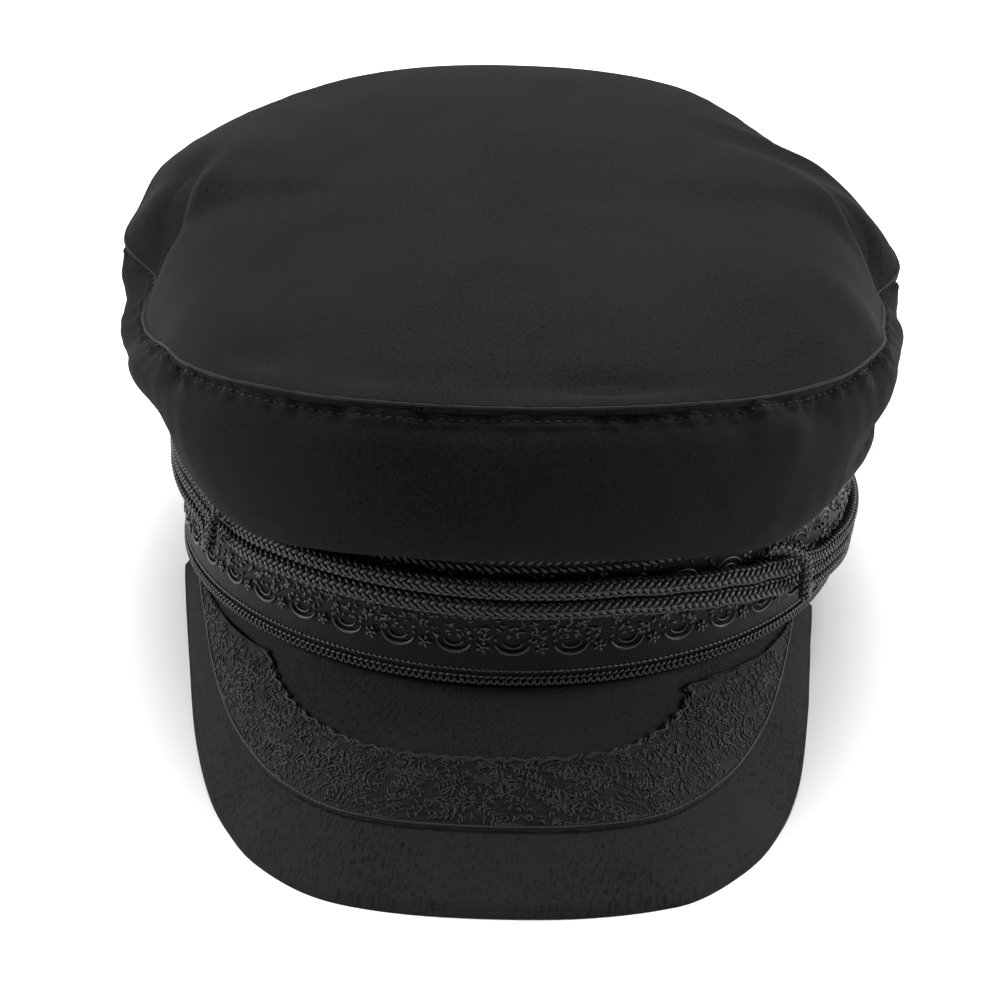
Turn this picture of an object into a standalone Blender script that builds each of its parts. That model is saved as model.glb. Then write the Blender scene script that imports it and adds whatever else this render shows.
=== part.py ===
"""Sailor cap: a soft cloth crown on a stiff band, with a lace trim, braided cords tied over each temple,
and a stiff cloth peak with an embroidered applique.

Metres, +Z up. The peak points to -Y and the wearer's left side is +X. The cap rests on a flat surface as
it would by itself, on the front of its peak and on the back of its band, so its head opening is tilted.

Every piece is modelled level, in the head frame: its origin is at the middle of the band's rim, and an
angle of 0 is at the front, 90 over +X and 180 at the back. The empty cap_rest then tilts the whole cap
and puts it on the surface, where a cutter presses flat what would dip below.
"""

import math

import bmesh
import bpy
from mathutils import Euler, Vector

GAP = 0.0003
CLOTH = 0.002

# How the cap rests: the front is raised by the peak, and the rim's middle is above the surface.
REST_TILT = math.radians(10.5)
REST_LIFT = 0.0188

# Band: half-axes of the oval of its outer face at rim height, and how far its top edge leans out.
BAND_HALF = (0.0808, 0.0975, 0.1000)
BAND_BOTTOM = (0.0, 0.0, -0.0015)
BAND_TOP = 0.0360
BAND_LEAN_SIDE = 0.0036
BAND_LEAN_FRONT = 0.0046
BAND_SKEW = 0.0028

# Crown's side panel, from the band up to the seam. Each ring has its half width, half length to the front
# and to the back, its heights at the front, at the sides and at the back, and its share of the droops.
SIDE_RINGS = (
    (0.0850, 0.1022, 0.1047, 0.0364, 0.0364, 0.0364, 0.0),
    (0.0885, 0.1055, 0.1080, 0.0366, 0.0366, 0.0366, 0.2),
    (0.0920, 0.1085, 0.1115, 0.0360, 0.0365, 0.0365, 1.0),
    (0.0950, 0.1118, 0.1160, 0.0420, 0.0440, 0.0450, 0.6),
    (0.0967, 0.1132, 0.1200, 0.0530, 0.0560, 0.0600, 0.2),
    (0.0968, 0.1112, 0.1225, 0.0640, 0.0680, 0.0730, 0.0),
    (0.0955, 0.1082, 0.1235, 0.0690, 0.0745, 0.0820, 0.0),
    (0.0935, 0.1055, 0.1225, 0.0720, 0.0780, 0.0865, 0.0),
)
# Where the side panel hangs lower over the band: angle, spread in degrees, and how far down.
CROWN_DROOPS = ((-36, 14, 0.0034), (-74, 18, -0.0070), (36, 14, 0.0026), (72, 20, -0.0070))
CROWN_SQUARENESS = 2.35
CROWN_SIDE_SHIFT = -0.0024

# Crown's seam: angle, how far out of its oval it lies, and how far below its full height. Behind each
# temple the cloth folds in, and the seam steps out again at the rear flap.
SEAM_SHAPE = (
    (-160, -0.0010, 0.0000), (-145, -0.0030, 0.0000), (-130, 0.0008, 0.0020), (-118, 0.0056, 0.0060),
    (-110, 0.0050, 0.0110), (-104, 0.0046, 0.0150), (-98, -0.0060, 0.0180), (-92, -0.0055, 0.0205),
    (-85, -0.0065, 0.0200), (-75, -0.0080, 0.0165), (-65, -0.0072, 0.0118), (-55, -0.0050, 0.0092),
    (-45, -0.0030, 0.0064), (-34, -0.0008, 0.0034), (-24, 0.0000, 0.0018), (-10, 0.0000, 0.0004),
    (10, 0.0000, 0.0004), (23, 0.0000, 0.0017), (32, 0.0000, 0.0035), (46, 0.0000, 0.0064),
    (57, -0.0003, 0.0092), (66, -0.0010, 0.0112), (75, -0.0005, 0.0128), (84, -0.0020, 0.0155),
    (92, -0.0010, 0.0178), (98, 0.0004, 0.0190), (104, 0.0084, 0.0180), (110, 0.0064, 0.0140),
    (118, -0.0004, 0.0070), (125, -0.0068, 0.0030), (132, -0.0094, 0.0010), (142, -0.0078, 0.0000),
    (155, -0.0020, 0.0000), (180, 0.0000, 0.0000),
)
SEAM_PULL = 3.5
# Where the side panel stands out: angle, spread, share of the way up, its spread, and how far out.
SIDE_BULGES = (
    (-101, 17, 0.72, 0.20, 0.0052),
    (-82, 22, 0.46, 0.17, -0.0085),
    (98, 17, 0.72, 0.20, 0.0034),
    (82, 22, 0.46, 0.17, -0.0072),
)

# Crown's top panel: shares of the way from its middle to the seam, and the rise of its middle.
TOP_SHARES = (0.97, 0.93, 0.88, 0.81, 0.70, 0.54, 0.36, 0.18)
TOP_RISE = 0.0080
TOP_ROUNDNESS = 2.6
TOP_FOLD_SHARPNESS = 11

# Lace trim: section from the band's outer face, with a thicker chain edge above and below.
TRIM_LOW = 0.0010
TRIM_HIGH = 0.0355
TRIM_FACE = 0.0009
TRIM_EDGE_DEPTH = 0.0018
TRIM_EDGE_HEIGHT = 0.0030

# Cords: angle round the band and height above the rim of the middle of the pair. The pair is pulled thin
# behind its knots.
PAIR_RADIUS = 0.0024
PAIR_SIDE_RADIUS = 0.0018
PAIR_THIN_ANGLES = (44, 60)
TIE_RADIUS = 0.0018
PAIR_ROUTE = (
    (-150, 0.0270), (-110, 0.0285), (-85, 0.0290), (-68, 0.0280), (-55, 0.0250), (-47, 0.0244),
    (-38, 0.0248), (-19, 0.0248), (0, 0.0246), (15, 0.0245), (24, 0.0232), (33, 0.0216),
    (41, 0.0197), (50, 0.0176), (62, 0.0150), (77, 0.0128), (95, 0.0125), (120, 0.0150),
    (150, 0.0205), (180, 0.0245),
)
# Each knot of the tie over the pair, from the tucked end to where it runs on beside the pair:
# degrees towards the back from the knot, height above the pair's middle, and how far it stands out.
KNOT_ANGLES = (-52.0, 48.0)
KNOT_ROUTE = (
    (-6.0, 0.0080, -0.0002), (-3.5, 0.0083, 0.0012), (-1.0, 0.0070, 0.0034), (0.6, 0.0036, 0.0049),
    (1.2, -0.0010, 0.0050), (2.4, -0.0050, 0.0046), (5.2, -0.0062, 0.0026), (9.5, -0.0060, 0.0000),
)
TIE_BACK_UP = -0.0060
TIE_BACK_POINTS = 56
KNOT_POINTS = 13

# Peak: angles of its root's ends, then points of its free edge from -X round the front to +X, as x,
# distance to the front of the rim's middle, and height above the surface that the cap rests on.
PEAK_ROOT_ANGLES = (-81.0, 67.0)
PEAK_EDGE = (
    (-0.0815, 0.0190, 0.0195), (-0.0803, 0.0330, 0.0168), (-0.0789, 0.0460, 0.0130),
    (-0.0760, 0.0690, 0.0068), (-0.0715, 0.0880, 0.0032), (-0.0660, 0.1018, 0.0020),
    (-0.0592, 0.1136, 0.0018), (-0.0470, 0.1249, 0.0018), (-0.0328, 0.1306, 0.0021),
    (-0.0120, 0.1334, 0.0024), (0.0160, 0.1331, 0.0024), (0.0370, 0.1288, 0.0021),
    (0.0482, 0.1228, 0.0018), (0.0596, 0.1100, 0.0018), (0.0660, 0.0972, 0.0020),
    (0.0708, 0.0830, 0.0042), (0.0732, 0.0680, 0.0090), (0.0745, 0.0500, 0.0165),
    (0.0752, 0.0360, 0.0220),
)
PEAK_THICKNESS = 0.0028
PEAK_BULGE = 0.0040

# Applique: reach of its outer and inner outlines along the peak and out from the root, both as shares.
APPLIQUE_OUTER = (0.46, 0.72)
APPLIQUE_INNER = (0.31, 0.45)
APPLIQUE_SQUARENESS = 2.6
APPLIQUE_THICKNESS = 0.0007

RING_SEGMENTS = 72
PEAK_SEGMENTS = 44
PEAK_ROWS = 7
APPLIQUE_SEGMENTS = 44
APPLIQUE_ROWS = 4
CORD_POINTS = 80
FLOOR_CUTTER_SIZE = 0.4

BLACK_CLOTH = (0.020, 0.020, 0.022, 1.0)
BLACK_LACE = (0.014, 0.014, 0.015, 1.0)
BLACK_CORD = (0.016, 0.016, 0.017, 1.0)
BLACK_THREAD = (0.017, 0.016, 0.021, 1.0)


def new_collection(name):
    collection = bpy.data.collections.new(name)
    bpy.context.scene.collection.children.link(collection)
    return collection


def new_material(name, colour, roughness):
    material = bpy.data.materials.new(name)
    material.use_nodes = True
    shader = material.node_tree.nodes["Principled BSDF"]
    shader.inputs["Base Color"].default_value = colour
    shader.inputs["Roughness"].default_value = roughness
    shader.inputs["Metallic"].default_value = 0.0
    return material


def signed_power(value, exponent):
    return math.copysign(abs(value) ** exponent, value)


def around(angle, front, side, back):
    """A value that goes smoothly from the front to the sides and on to the back."""
    facing = math.cos(math.radians(angle))
    end = front if facing > 0 else back
    return side + (end - side) * facing * facing


def oval(angle, half_width, half_front, half_back, squareness=2.0):
    """A point of an oval, as x and y."""
    across = math.sin(math.radians(angle))
    along = math.cos(math.radians(angle))
    half_length = half_front if along > 0 else half_back
    x = half_width * signed_power(across, 2 / squareness)
    y = -half_length * signed_power(along, 2 / squareness)
    return Vector((x, y, 0))


def band_point(angle, height, lift=0.0):
    """A point at a height above the rim, lifted outwards from the band's outer face."""
    half_width, half_front, half_back = BAND_HALF
    foot = oval(angle, half_width, half_front, half_back)
    half_length = half_front if foot.y < 0 else half_back
    outwards = Vector((foot.x / half_width**2, foot.y / half_length**2, 0)).normalized()
    lean = around(angle, BAND_LEAN_FRONT, BAND_LEAN_SIDE, BAND_LEAN_FRONT) * height / BAND_TOP
    skew = Vector((BAND_SKEW * height / BAND_TOP, 0, height))
    return foot + outwards * (lean + lift) + skew


def bell(angle, centre, spread):
    """A smooth bump of height 1 at an angle."""
    away = (angle - centre + 180) % 360 - 180
    return math.exp(-((away / spread) ** 2))


def seam_shape(angle):
    """How far out and how far down the crown's seam lies at an angle, smoothly from row to row."""
    turn = Vector((360, 0, 0))
    rows = [Vector(row) for row in SEAM_SHAPE]
    rows = [rows[-1] - turn] + rows + [rows[0] + turn, rows[1] + turn]
    wrapped = (angle - rows[1].x) % 360 + rows[1].x
    index = max(i for i in range(1, len(rows) - 2) if rows[i].x <= wrapped)
    before, start, end, after = rows[index - 1 : index + 3]
    width = end.x - start.x
    local = (wrapped - start.x) / width
    start_slope = (end - before) * (width / (end.x - before.x))
    end_slope = (after - start) * (width / (after.x - start.x))
    value = start * (2 * local**3 - 3 * local**2 + 1) + end * (3 * local**2 - 2 * local**3)
    value += start_slope * (local**3 - 2 * local**2 + local) + end_slope * (local**3 - local**2)
    return value.y, value.z


def bulge(angle, share):
    """How far the side panel stands out at an angle and a share of the way up."""
    return sum(
        out * bell(angle, centre, spread) * math.exp(-(((share - height) / height_spread) ** 2))
        for centre, spread, height, height_spread, out in SIDE_BULGES
    )


def droop(angle):
    """How much lower the crown's cloth hangs over the band at an angle."""
    return sum(down * bell(angle, centre, spread) for centre, spread, down in CROWN_DROOPS)


def crown_point(angle, ring, share):
    """A point of the crown's side panel, where share is 0 at the band and 1 at the seam."""
    half_width, half_front, half_back, front, side, back, droop_share = ring
    point = oval(angle, half_width, half_front, half_back, CROWN_SQUARENESS)
    seam_out, seam_down = seam_shape(angle)
    point += point.normalized() * (seam_out * share**SEAM_PULL + bulge(angle, share))
    point.x += BAND_SKEW + (CROWN_SIDE_SHIFT - BAND_SKEW) * share
    full_height = around(angle, *SIDE_RINGS[-1][3:6]) - BAND_TOP
    height = around(angle, front, side, back) - BAND_TOP
    point.z = BAND_TOP + height * (1 - seam_down / full_height) - droop(angle) * droop_share
    return point


def top_point(angle, share):
    """A point of the crown's top panel, where share is 0 in its middle and 1 at the seam."""
    seam = crown_point(angle, SIDE_RINGS[-1], 1.0)
    heights = SIDE_RINGS[-1][3:6]
    middle_height = sum(heights) / 3
    puffed_height = around(angle, *heights)
    point = seam * share
    point.z = middle_height + (puffed_height - middle_height) * share
    point.z += TOP_RISE * (1 - share**TOP_ROUNDNESS)
    point.z += (seam.z - puffed_height) * share**TOP_FOLD_SHARPNESS
    return point


def height_over_surface(x, front, height):
    """A head-frame point at a height above the surface that the tilted cap rests on."""
    z = (height - REST_LIFT - front * math.sin(REST_TILT)) / math.cos(REST_TILT)
    return Vector((x, -front, z))


def smooth_route(points, share, closed=False):
    """A point of the smooth curve through points, where share runs from 0 to 1."""
    count = len(points) if closed else len(points) - 1
    place = min(max(share, 0.0), 1.0) * count
    index = min(int(place), count - 1)
    local = place - index

    def control(offset):
        wanted = index + offset
        if closed:
            return points[wanted % len(points)]
        return points[min(max(wanted, 0), len(points) - 1)]

    before, start, end, after = (control(offset) for offset in (-1, 0, 1, 2))
    return 0.5 * (
        2 * start
        + (end - before) * local
        + (2 * before - 5 * start + 4 * end - after) * local**2
        + (3 * start - before - 3 * end + after) * local**3
    )


def peak_point(along, out, lift=0.0):
    """A point of the peak's upper face: along its root from -X to +X, and out from root to edge."""
    first, last = PEAK_ROOT_ANGLES
    angle = first + (last - first) * along
    root_height = around(angle, *BAND_BOTTOM) - GAP
    root = band_point(angle, root_height, -CLOTH / 2)
    edge_points = [height_over_surface(*row) for row in PEAK_EDGE]
    edge = smooth_route(edge_points, along)
    point = root.lerp(edge, out)
    bulge = 4 * out * (1 - out) * math.sin(math.pi * along)
    point.z += PEAK_BULGE * bulge + lift
    return point


def loft(rings, closed_round, closed_along=False, middle=None):
    """A mesh through rows of points, which may close round, close along, or meet in a middle point."""
    mesh = bmesh.new()
    rows = [[mesh.verts.new(point) for point in ring] for ring in rings]
    row_pairs = list(zip(rows, rows[1:]))
    if closed_along:
        row_pairs.append((rows[-1], rows[0]))
    for lower, upper in row_pairs:
        count = len(lower)
        for index in range(count if closed_round else count - 1):
            following = (index + 1) % count
            mesh.faces.new((lower[index], lower[following], upper[following], upper[index]))
    if middle is not None:
        centre = mesh.verts.new(middle)
        last = rows[-1]
        for index, vertex in enumerate(last):
            mesh.faces.new((vertex, last[(index + 1) % len(last)], centre))
    return mesh


def add_mesh(name, shape, collection, parent, material):
    mesh = bpy.data.meshes.new(name)
    shape.to_mesh(mesh)
    shape.free()
    mesh.shade_smooth()
    mesh.set_sharp_from_angle(angle=math.radians(50))
    mesh.materials.append(material)
    piece = bpy.data.objects.new(name, mesh)
    piece.parent = parent
    collection.objects.link(piece)
    return piece


def thicken(piece, thickness, side):
    """Make a closed shell of an open surface: side is 1 outwards along its normals, -1 inwards."""
    shell = piece.modifiers.new("shell", "SOLIDIFY")
    shell.thickness = thickness
    shell.offset = side
    shell.use_even_offset = True


def press_flat(piece, cutter):
    cut = piece.modifiers.new("pressed_flat", "BOOLEAN")
    cut.operation = "DIFFERENCE"
    cut.object = cutter


def ring_angles():
    return [360 * index / RING_SEGMENTS for index in range(RING_SEGMENTS)]


def make_crown_side(collection, parent, material):
    last = len(SIDE_RINGS) - 1
    rings = [
        [crown_point(angle, ring, index / last) for angle in ring_angles()]
        for index, ring in enumerate(SIDE_RINGS)
    ]
    piece = add_mesh("crown_side", loft(rings, closed_round=True), collection, parent, material)
    thicken(piece, CLOTH, -1)


def make_crown_top(collection, parent, material):
    lift = Vector((0, 0, GAP))
    shares = (1.0,) + TOP_SHARES
    rings = [[top_point(angle, share) + lift for angle in ring_angles()] for share in shares]
    middle = top_point(0, 0.0) + lift
    shape = loft(rings, closed_round=True, middle=middle)
    piece = add_mesh("crown_top", shape, collection, parent, material)
    thicken(piece, CLOTH, 1)


def make_head_band(collection, parent, material, cutter):
    bottom = [band_point(angle, around(angle, *BAND_BOTTOM)) for angle in ring_angles()]
    top = [band_point(angle, BAND_TOP) for angle in ring_angles()]
    shape = loft([bottom, top], closed_round=True)
    piece = add_mesh("head_band", shape, collection, parent, material)
    thicken(piece, CLOTH, -1)
    press_flat(piece, cutter)


def make_lace_trim(collection, parent, material):
    low_ledge = TRIM_LOW + TRIM_EDGE_HEIGHT
    high_ledge = TRIM_HIGH - TRIM_EDGE_HEIGHT
    section = (
        (TRIM_LOW, 0.0),
        (TRIM_LOW, TRIM_EDGE_DEPTH),
        (low_ledge, TRIM_EDGE_DEPTH),
        (low_ledge, TRIM_FACE),
        (high_ledge, TRIM_FACE),
        (high_ledge, TRIM_EDGE_DEPTH),
        (TRIM_HIGH, TRIM_EDGE_DEPTH),
        (TRIM_HIGH, 0.0),
    )
    rings = [
        [band_point(angle, height, GAP + depth) for angle in ring_angles()] for height, depth in section
    ]
    shape = loft(rings, closed_round=True, closed_along=True)
    add_mesh("lace_trim", shape, collection, parent, material)


def pair_height(angle):
    """Height above the rim of the middle of the pair of cords."""
    angles = [row[0] for row in PAIR_ROUTE]
    heights = [row[1] for row in PAIR_ROUTE]
    angles = [angles[-1] - 360] + angles + [angles[0] + 360]
    heights = [heights[-1]] + heights + [heights[0]]
    wrapped = (angle + 180) % 360 - 180
    index = max(i for i in range(len(angles) - 1) if angles[i] <= wrapped)
    local = (wrapped - angles[index]) / (angles[index + 1] - angles[index])
    eased = local * local * (3 - 2 * local)
    return heights[index] + (heights[index + 1] - heights[index]) * eased


def pair_radius(angle):
    """Radius of each cord of the pair, thinner behind the knots."""
    start, end = PAIR_THIN_ANGLES
    away = abs((angle + 180) % 360 - 180)
    share = min(max((away - start) / (end - start), 0.0), 1.0)
    eased = share * share * (3 - 2 * share)
    return PAIR_RADIUS + (PAIR_SIDE_RADIUS - PAIR_RADIUS) * eased


def add_cord(name, points, radii, closed, collection, parent, material):
    curve = bpy.data.curves.new(name, "CURVE")
    curve.dimensions = "3D"
    curve.bevel_depth = max(radii)
    curve.bevel_resolution = 2
    curve.use_fill_caps = not closed
    spline = curve.splines.new("POLY")
    spline.points.add(len(points) - 1)
    for target, point, radius in zip(spline.points, points, radii):
        target.co = (*point, 1.0)
        target.radius = radius / curve.bevel_depth
    spline.use_cyclic_u = closed
    curve.materials.append(material)
    piece = bpy.data.objects.new(name, curve)
    piece.parent = parent
    collection.objects.link(piece)


def make_pair(collection, parent, material):
    angles = [360 * index / CORD_POINTS for index in range(CORD_POINTS)]
    radii = [pair_radius(angle) for angle in angles]
    for name, side in (("cord_upper", 1), ("cord_lower", -1)):
        points = []
        for angle, radius in zip(angles, radii):
            height = pair_height(angle) + side * (radius + GAP / 2)
            points.append(band_point(angle, height, TRIM_FACE + 2 * GAP + radius))
        add_cord(name, points, radii, True, collection, parent, material)


def beside_pair(angle, up, out):
    """A point placed from the middle of the pair of cords."""
    lift = TRIM_FACE + 2 * GAP + pair_radius(angle)
    return band_point(angle, pair_height(angle) + up, lift + out)


def make_tie(collection, parent, material):
    """The third cord: hooked over the pair at each temple, and round the back below the pair."""
    right_angle, left_angle = KNOT_ANGLES
    right_end = [beside_pair(right_angle - back, up, out) for back, up, out in KNOT_ROUTE]
    left_end = [beside_pair(left_angle + back, up, out) for back, up, out in KNOT_ROUTE]
    shares = [index / (KNOT_POINTS - 1) for index in range(KNOT_POINTS)]
    points = [smooth_route(left_end, share) for share in shares]
    furthest = KNOT_ROUTE[-1][0]
    start = left_angle + furthest
    end = 360 + right_angle - furthest
    for index in range(1, TIE_BACK_POINTS):
        angle = start + (end - start) * index / TIE_BACK_POINTS
        points.append(beside_pair(angle, TIE_BACK_UP, 0.0))
    points += [smooth_route(right_end, share) for share in reversed(shares)]
    radii = [TIE_RADIUS] * len(points)
    add_cord("cord_tie", points, radii, False, collection, parent, material)


def make_peak(collection, parent, material, cutter):
    rows = []
    for row in range(PEAK_ROWS + 1):
        out = row / PEAK_ROWS
        rows.append([peak_point(index / PEAK_SEGMENTS, out) for index in range(PEAK_SEGMENTS + 1)])
    piece = add_mesh("peak", loft(rows, closed_round=False), collection, parent, material)
    thicken(piece, PEAK_THICKNESS, 1)
    press_flat(piece, cutter)


def applique_outline(turn, reach):
    """A point of a U-shaped outline on the peak, as shares along its root and out from it."""
    half_along, furthest_out = reach
    across = signed_power(-math.cos(turn), 2 / APPLIQUE_SQUARENESS)
    outwards = signed_power(math.sin(turn), 2 / APPLIQUE_SQUARENESS)
    return 0.5 + half_along * across, furthest_out * outwards


def make_applique(collection, parent, material):
    rows = []
    for row in range(APPLIQUE_ROWS + 1):
        outer_share = row / APPLIQUE_ROWS
        points = []
        for index in range(APPLIQUE_SEGMENTS + 1):
            turn = math.pi * (0.08 + 0.84 * index / APPLIQUE_SEGMENTS)
            inner = applique_outline(turn, APPLIQUE_INNER)
            outer = applique_outline(turn, APPLIQUE_OUTER)
            along = inner[0] + (outer[0] - inner[0]) * outer_share
            out = inner[1] + (outer[1] - inner[1]) * outer_share
            points.append(peak_point(along, out, 2 * GAP))
        rows.append(points)
    piece = add_mesh("peak_applique", loft(rows, closed_round=False), collection, parent, material)
    thicken(piece, APPLIQUE_THICKNESS, -1)


def make_floor_cutter(collection):
    bpy.ops.mesh.primitive_cube_add(size=FLOOR_CUTTER_SIZE, location=(0, 0, -FLOOR_CUTTER_SIZE / 2))
    cutter = bpy.context.object
    cutter.name = "below_the_surface"
    cutter.display_type = "WIRE"
    cutter.hide_render = True
    for owner in list(cutter.users_collection):
        owner.objects.unlink(cutter)
    collection.objects.link(cutter)
    return cutter


def centre_on_origin(rest, collection):
    """Move the cap over the surface so that the middle of its box is over the origin."""
    bpy.context.view_layer.update()
    graph = bpy.context.evaluated_depsgraph_get()
    points = []
    for piece in collection.objects:
        if piece.type == "EMPTY":
            continue
        evaluated = piece.evaluated_get(graph)
        mesh = evaluated.to_mesh()
        points += [evaluated.matrix_world @ vertex.co for vertex in mesh.vertices]
        evaluated.to_mesh_clear()
    for axis in (0, 1):
        low = min(point[axis] for point in points)
        high = max(point[axis] for point in points)
        rest.location[axis] -= (low + high) / 2


def main():
    for old in list(bpy.data.objects):
        bpy.data.objects.remove(old, do_unlink=True)
    parts = new_collection("sailor_cap")
    cutters = new_collection("cutters")
    rest = bpy.data.objects.new("cap_rest", None)
    rest.rotation_euler = Euler((-REST_TILT, 0, 0))
    rest.location = (0, 0, REST_LIFT)
    parts.objects.link(rest)
    floor = make_floor_cutter(cutters)
    cloth = new_material("black_cloth", BLACK_CLOTH, 0.85)
    lace = new_material("black_lace", BLACK_LACE, 0.6)
    cord = new_material("black_cord", BLACK_CORD, 0.5)
    thread = new_material("black_thread", BLACK_THREAD, 0.65)
    make_crown_side(parts, rest, cloth)
    make_crown_top(parts, rest, cloth.copy())
    make_head_band(parts, rest, cloth.copy(), floor)
    make_lace_trim(parts, rest, lace)
    make_pair(parts, rest, cord)
    make_tie(parts, rest, cord.copy())
    make_peak(parts, rest, cloth.copy(), floor)
    make_applique(parts, rest, thread)
    centre_on_origin(rest, parts)


if __name__ == "__main__":
    main()
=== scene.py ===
"""Looks of the sailor cap: its cloth, seams, lace trim, braided cords, embroidered peak, and its stage."""

import math

import bmesh
import bpy
import numpy as np
from mathutils import Matrix, Vector


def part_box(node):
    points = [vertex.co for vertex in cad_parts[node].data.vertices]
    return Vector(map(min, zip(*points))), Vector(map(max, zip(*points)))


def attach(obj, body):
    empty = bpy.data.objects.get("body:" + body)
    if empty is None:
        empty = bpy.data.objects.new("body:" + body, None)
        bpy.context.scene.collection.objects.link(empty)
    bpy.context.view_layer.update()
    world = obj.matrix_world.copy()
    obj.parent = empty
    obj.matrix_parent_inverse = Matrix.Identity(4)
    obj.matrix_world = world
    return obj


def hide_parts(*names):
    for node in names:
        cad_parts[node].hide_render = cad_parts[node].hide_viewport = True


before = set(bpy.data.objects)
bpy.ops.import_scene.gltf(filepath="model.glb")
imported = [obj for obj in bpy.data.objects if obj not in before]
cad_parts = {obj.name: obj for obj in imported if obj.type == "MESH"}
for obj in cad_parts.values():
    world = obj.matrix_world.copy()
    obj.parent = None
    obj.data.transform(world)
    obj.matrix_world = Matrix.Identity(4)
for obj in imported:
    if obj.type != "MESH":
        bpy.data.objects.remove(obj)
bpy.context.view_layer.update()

bl_info = {
    "name": "Sailor Cap",
    "version": (1, 0, 0),
    "blender": (4, 5, 0),
    "location": "View3D > Sidebar > Cap",
    "description": "Builds the cloth, trim, cords and embroidery of a sailor cap",
    "category": "Add Mesh",
}

BODY = "root"
TWILL_LEAN = math.radians(40)
TWILL_FLOAT_SCALE = (1500, 520, 900)
UP = np.array([0.0, 0.0, 1.0])
LEVEL = np.array([1.0, 1.0, 0.0])

# How the cap rests: it is tipped back by this much, with its front raised by the peak.
REST_TILT = math.radians(10.5)
REST_LIFT = 0.0188
GAP = 0.0003

# Band: half width of its outer face at the rim and half length to the front and to the back, heights of its
# rim at the front, sides and back, height of its top edge, and how far that edge leans out and sideways.
BAND_HALF = (0.0808, 0.0975, 0.1000)
BAND_BOTTOM = (0.0, 0.0, -0.0015)
BAND_TOP = 0.0360
BAND_LEAN_SIDE = 0.0036
BAND_LEAN_FRONT = 0.0046
BAND_SKEW = 0.0028

# Crown's side panel, from the band up to the seam. Each ring has its half width, half length to the front
# and to the back, its heights at the front, at the sides and at the back, and its share of the droops.
SIDE_RINGS = (
    (0.0850, 0.1022, 0.1047, 0.0364, 0.0364, 0.0364, 0.0),
    (0.0885, 0.1055, 0.1080, 0.0366, 0.0366, 0.0366, 0.2),
    (0.0920, 0.1085, 0.1115, 0.0360, 0.0365, 0.0365, 1.0),
    (0.0950, 0.1118, 0.1160, 0.0420, 0.0440, 0.0450, 0.6),
    (0.0967, 0.1132, 0.1200, 0.0530, 0.0560, 0.0600, 0.2),
    (0.0968, 0.1112, 0.1225, 0.0640, 0.0680, 0.0730, 0.0),
    (0.0955, 0.1082, 0.1235, 0.0690, 0.0745, 0.0820, 0.0),
    (0.0935, 0.1055, 0.1225, 0.0720, 0.0780, 0.0865, 0.0),
)
# Where the panel's lower edge droops, or lifts if negative: angle, spread, and how far.
CROWN_DROOPS = ((-36, 14, 0.0034), (-74, 18, -0.0070), (36, 14, 0.0026), (72, 20, -0.0070))
CROWN_SQUARENESS = 2.35
CROWN_SIDE_SHIFT = -0.0024
SIDE_PACKING = 1.35
SIDE_PLAIN_SHARE = 0.35
# Crown's seam: angle, how far out of its oval it lies, and how far below its full height. Behind each
# temple the cloth folds in, and the seam steps out again at the rear flap.
SEAM_SHAPE = (
    (-160, -0.0010, 0.0000), (-145, -0.0030, 0.0000), (-130, 0.0008, 0.0020), (-118, 0.0056, 0.0060),
    (-110, 0.0050, 0.0110), (-104, 0.0046, 0.0150), (-98, -0.0060, 0.0180), (-92, -0.0055, 0.0205),
    (-85, -0.0065, 0.0200), (-75, -0.0080, 0.0165), (-65, -0.0072, 0.0118), (-55, -0.0050, 0.0092),
    (-45, -0.0030, 0.0064), (-34, -0.0008, 0.0034), (-24, 0.0000, 0.0018), (-10, 0.0000, 0.0004),
    (10, 0.0000, 0.0004), (23, 0.0000, 0.0017), (32, 0.0000, 0.0035), (46, 0.0000, 0.0064),
    (57, -0.0003, 0.0092), (66, -0.0010, 0.0112), (75, -0.0005, 0.0128), (84, -0.0020, 0.0155),
    (92, -0.0010, 0.0178), (98, 0.0004, 0.0190), (104, 0.0084, 0.0180), (110, 0.0064, 0.0140),
    (118, -0.0004, 0.0070), (125, -0.0068, 0.0030), (132, -0.0094, 0.0010), (142, -0.0078, 0.0000),
    (155, -0.0020, 0.0000), (180, 0.0000, 0.0000),
)
SEAM_PULL = 3.5
# Where the side panel stands out, or draws in if negative: angle, spread, share of the way up, its spread,
# and how far out.
SIDE_BULGES = (
    (-101, 17, 0.72, 0.20, 0.0052),
    (-82, 22, 0.46, 0.17, -0.0085),
    (98, 17, 0.72, 0.20, 0.0034),
    (82, 22, 0.46, 0.17, -0.0072),
)
# Top panel: how far its middle puffs up, how round it is, and how sharply it bends down at its seam.
TOP_RISE = 0.0080
TOP_ROUNDNESS = 2.6
TOP_FOLD_SHARPNESS = 11
TOP_POLE_SHARE = 0.015
TOP_FLAT_END = 0.93
TOP_SEAM_RELIEF = 0.25
TOP_LINING_GAP = 0.0002

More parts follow.
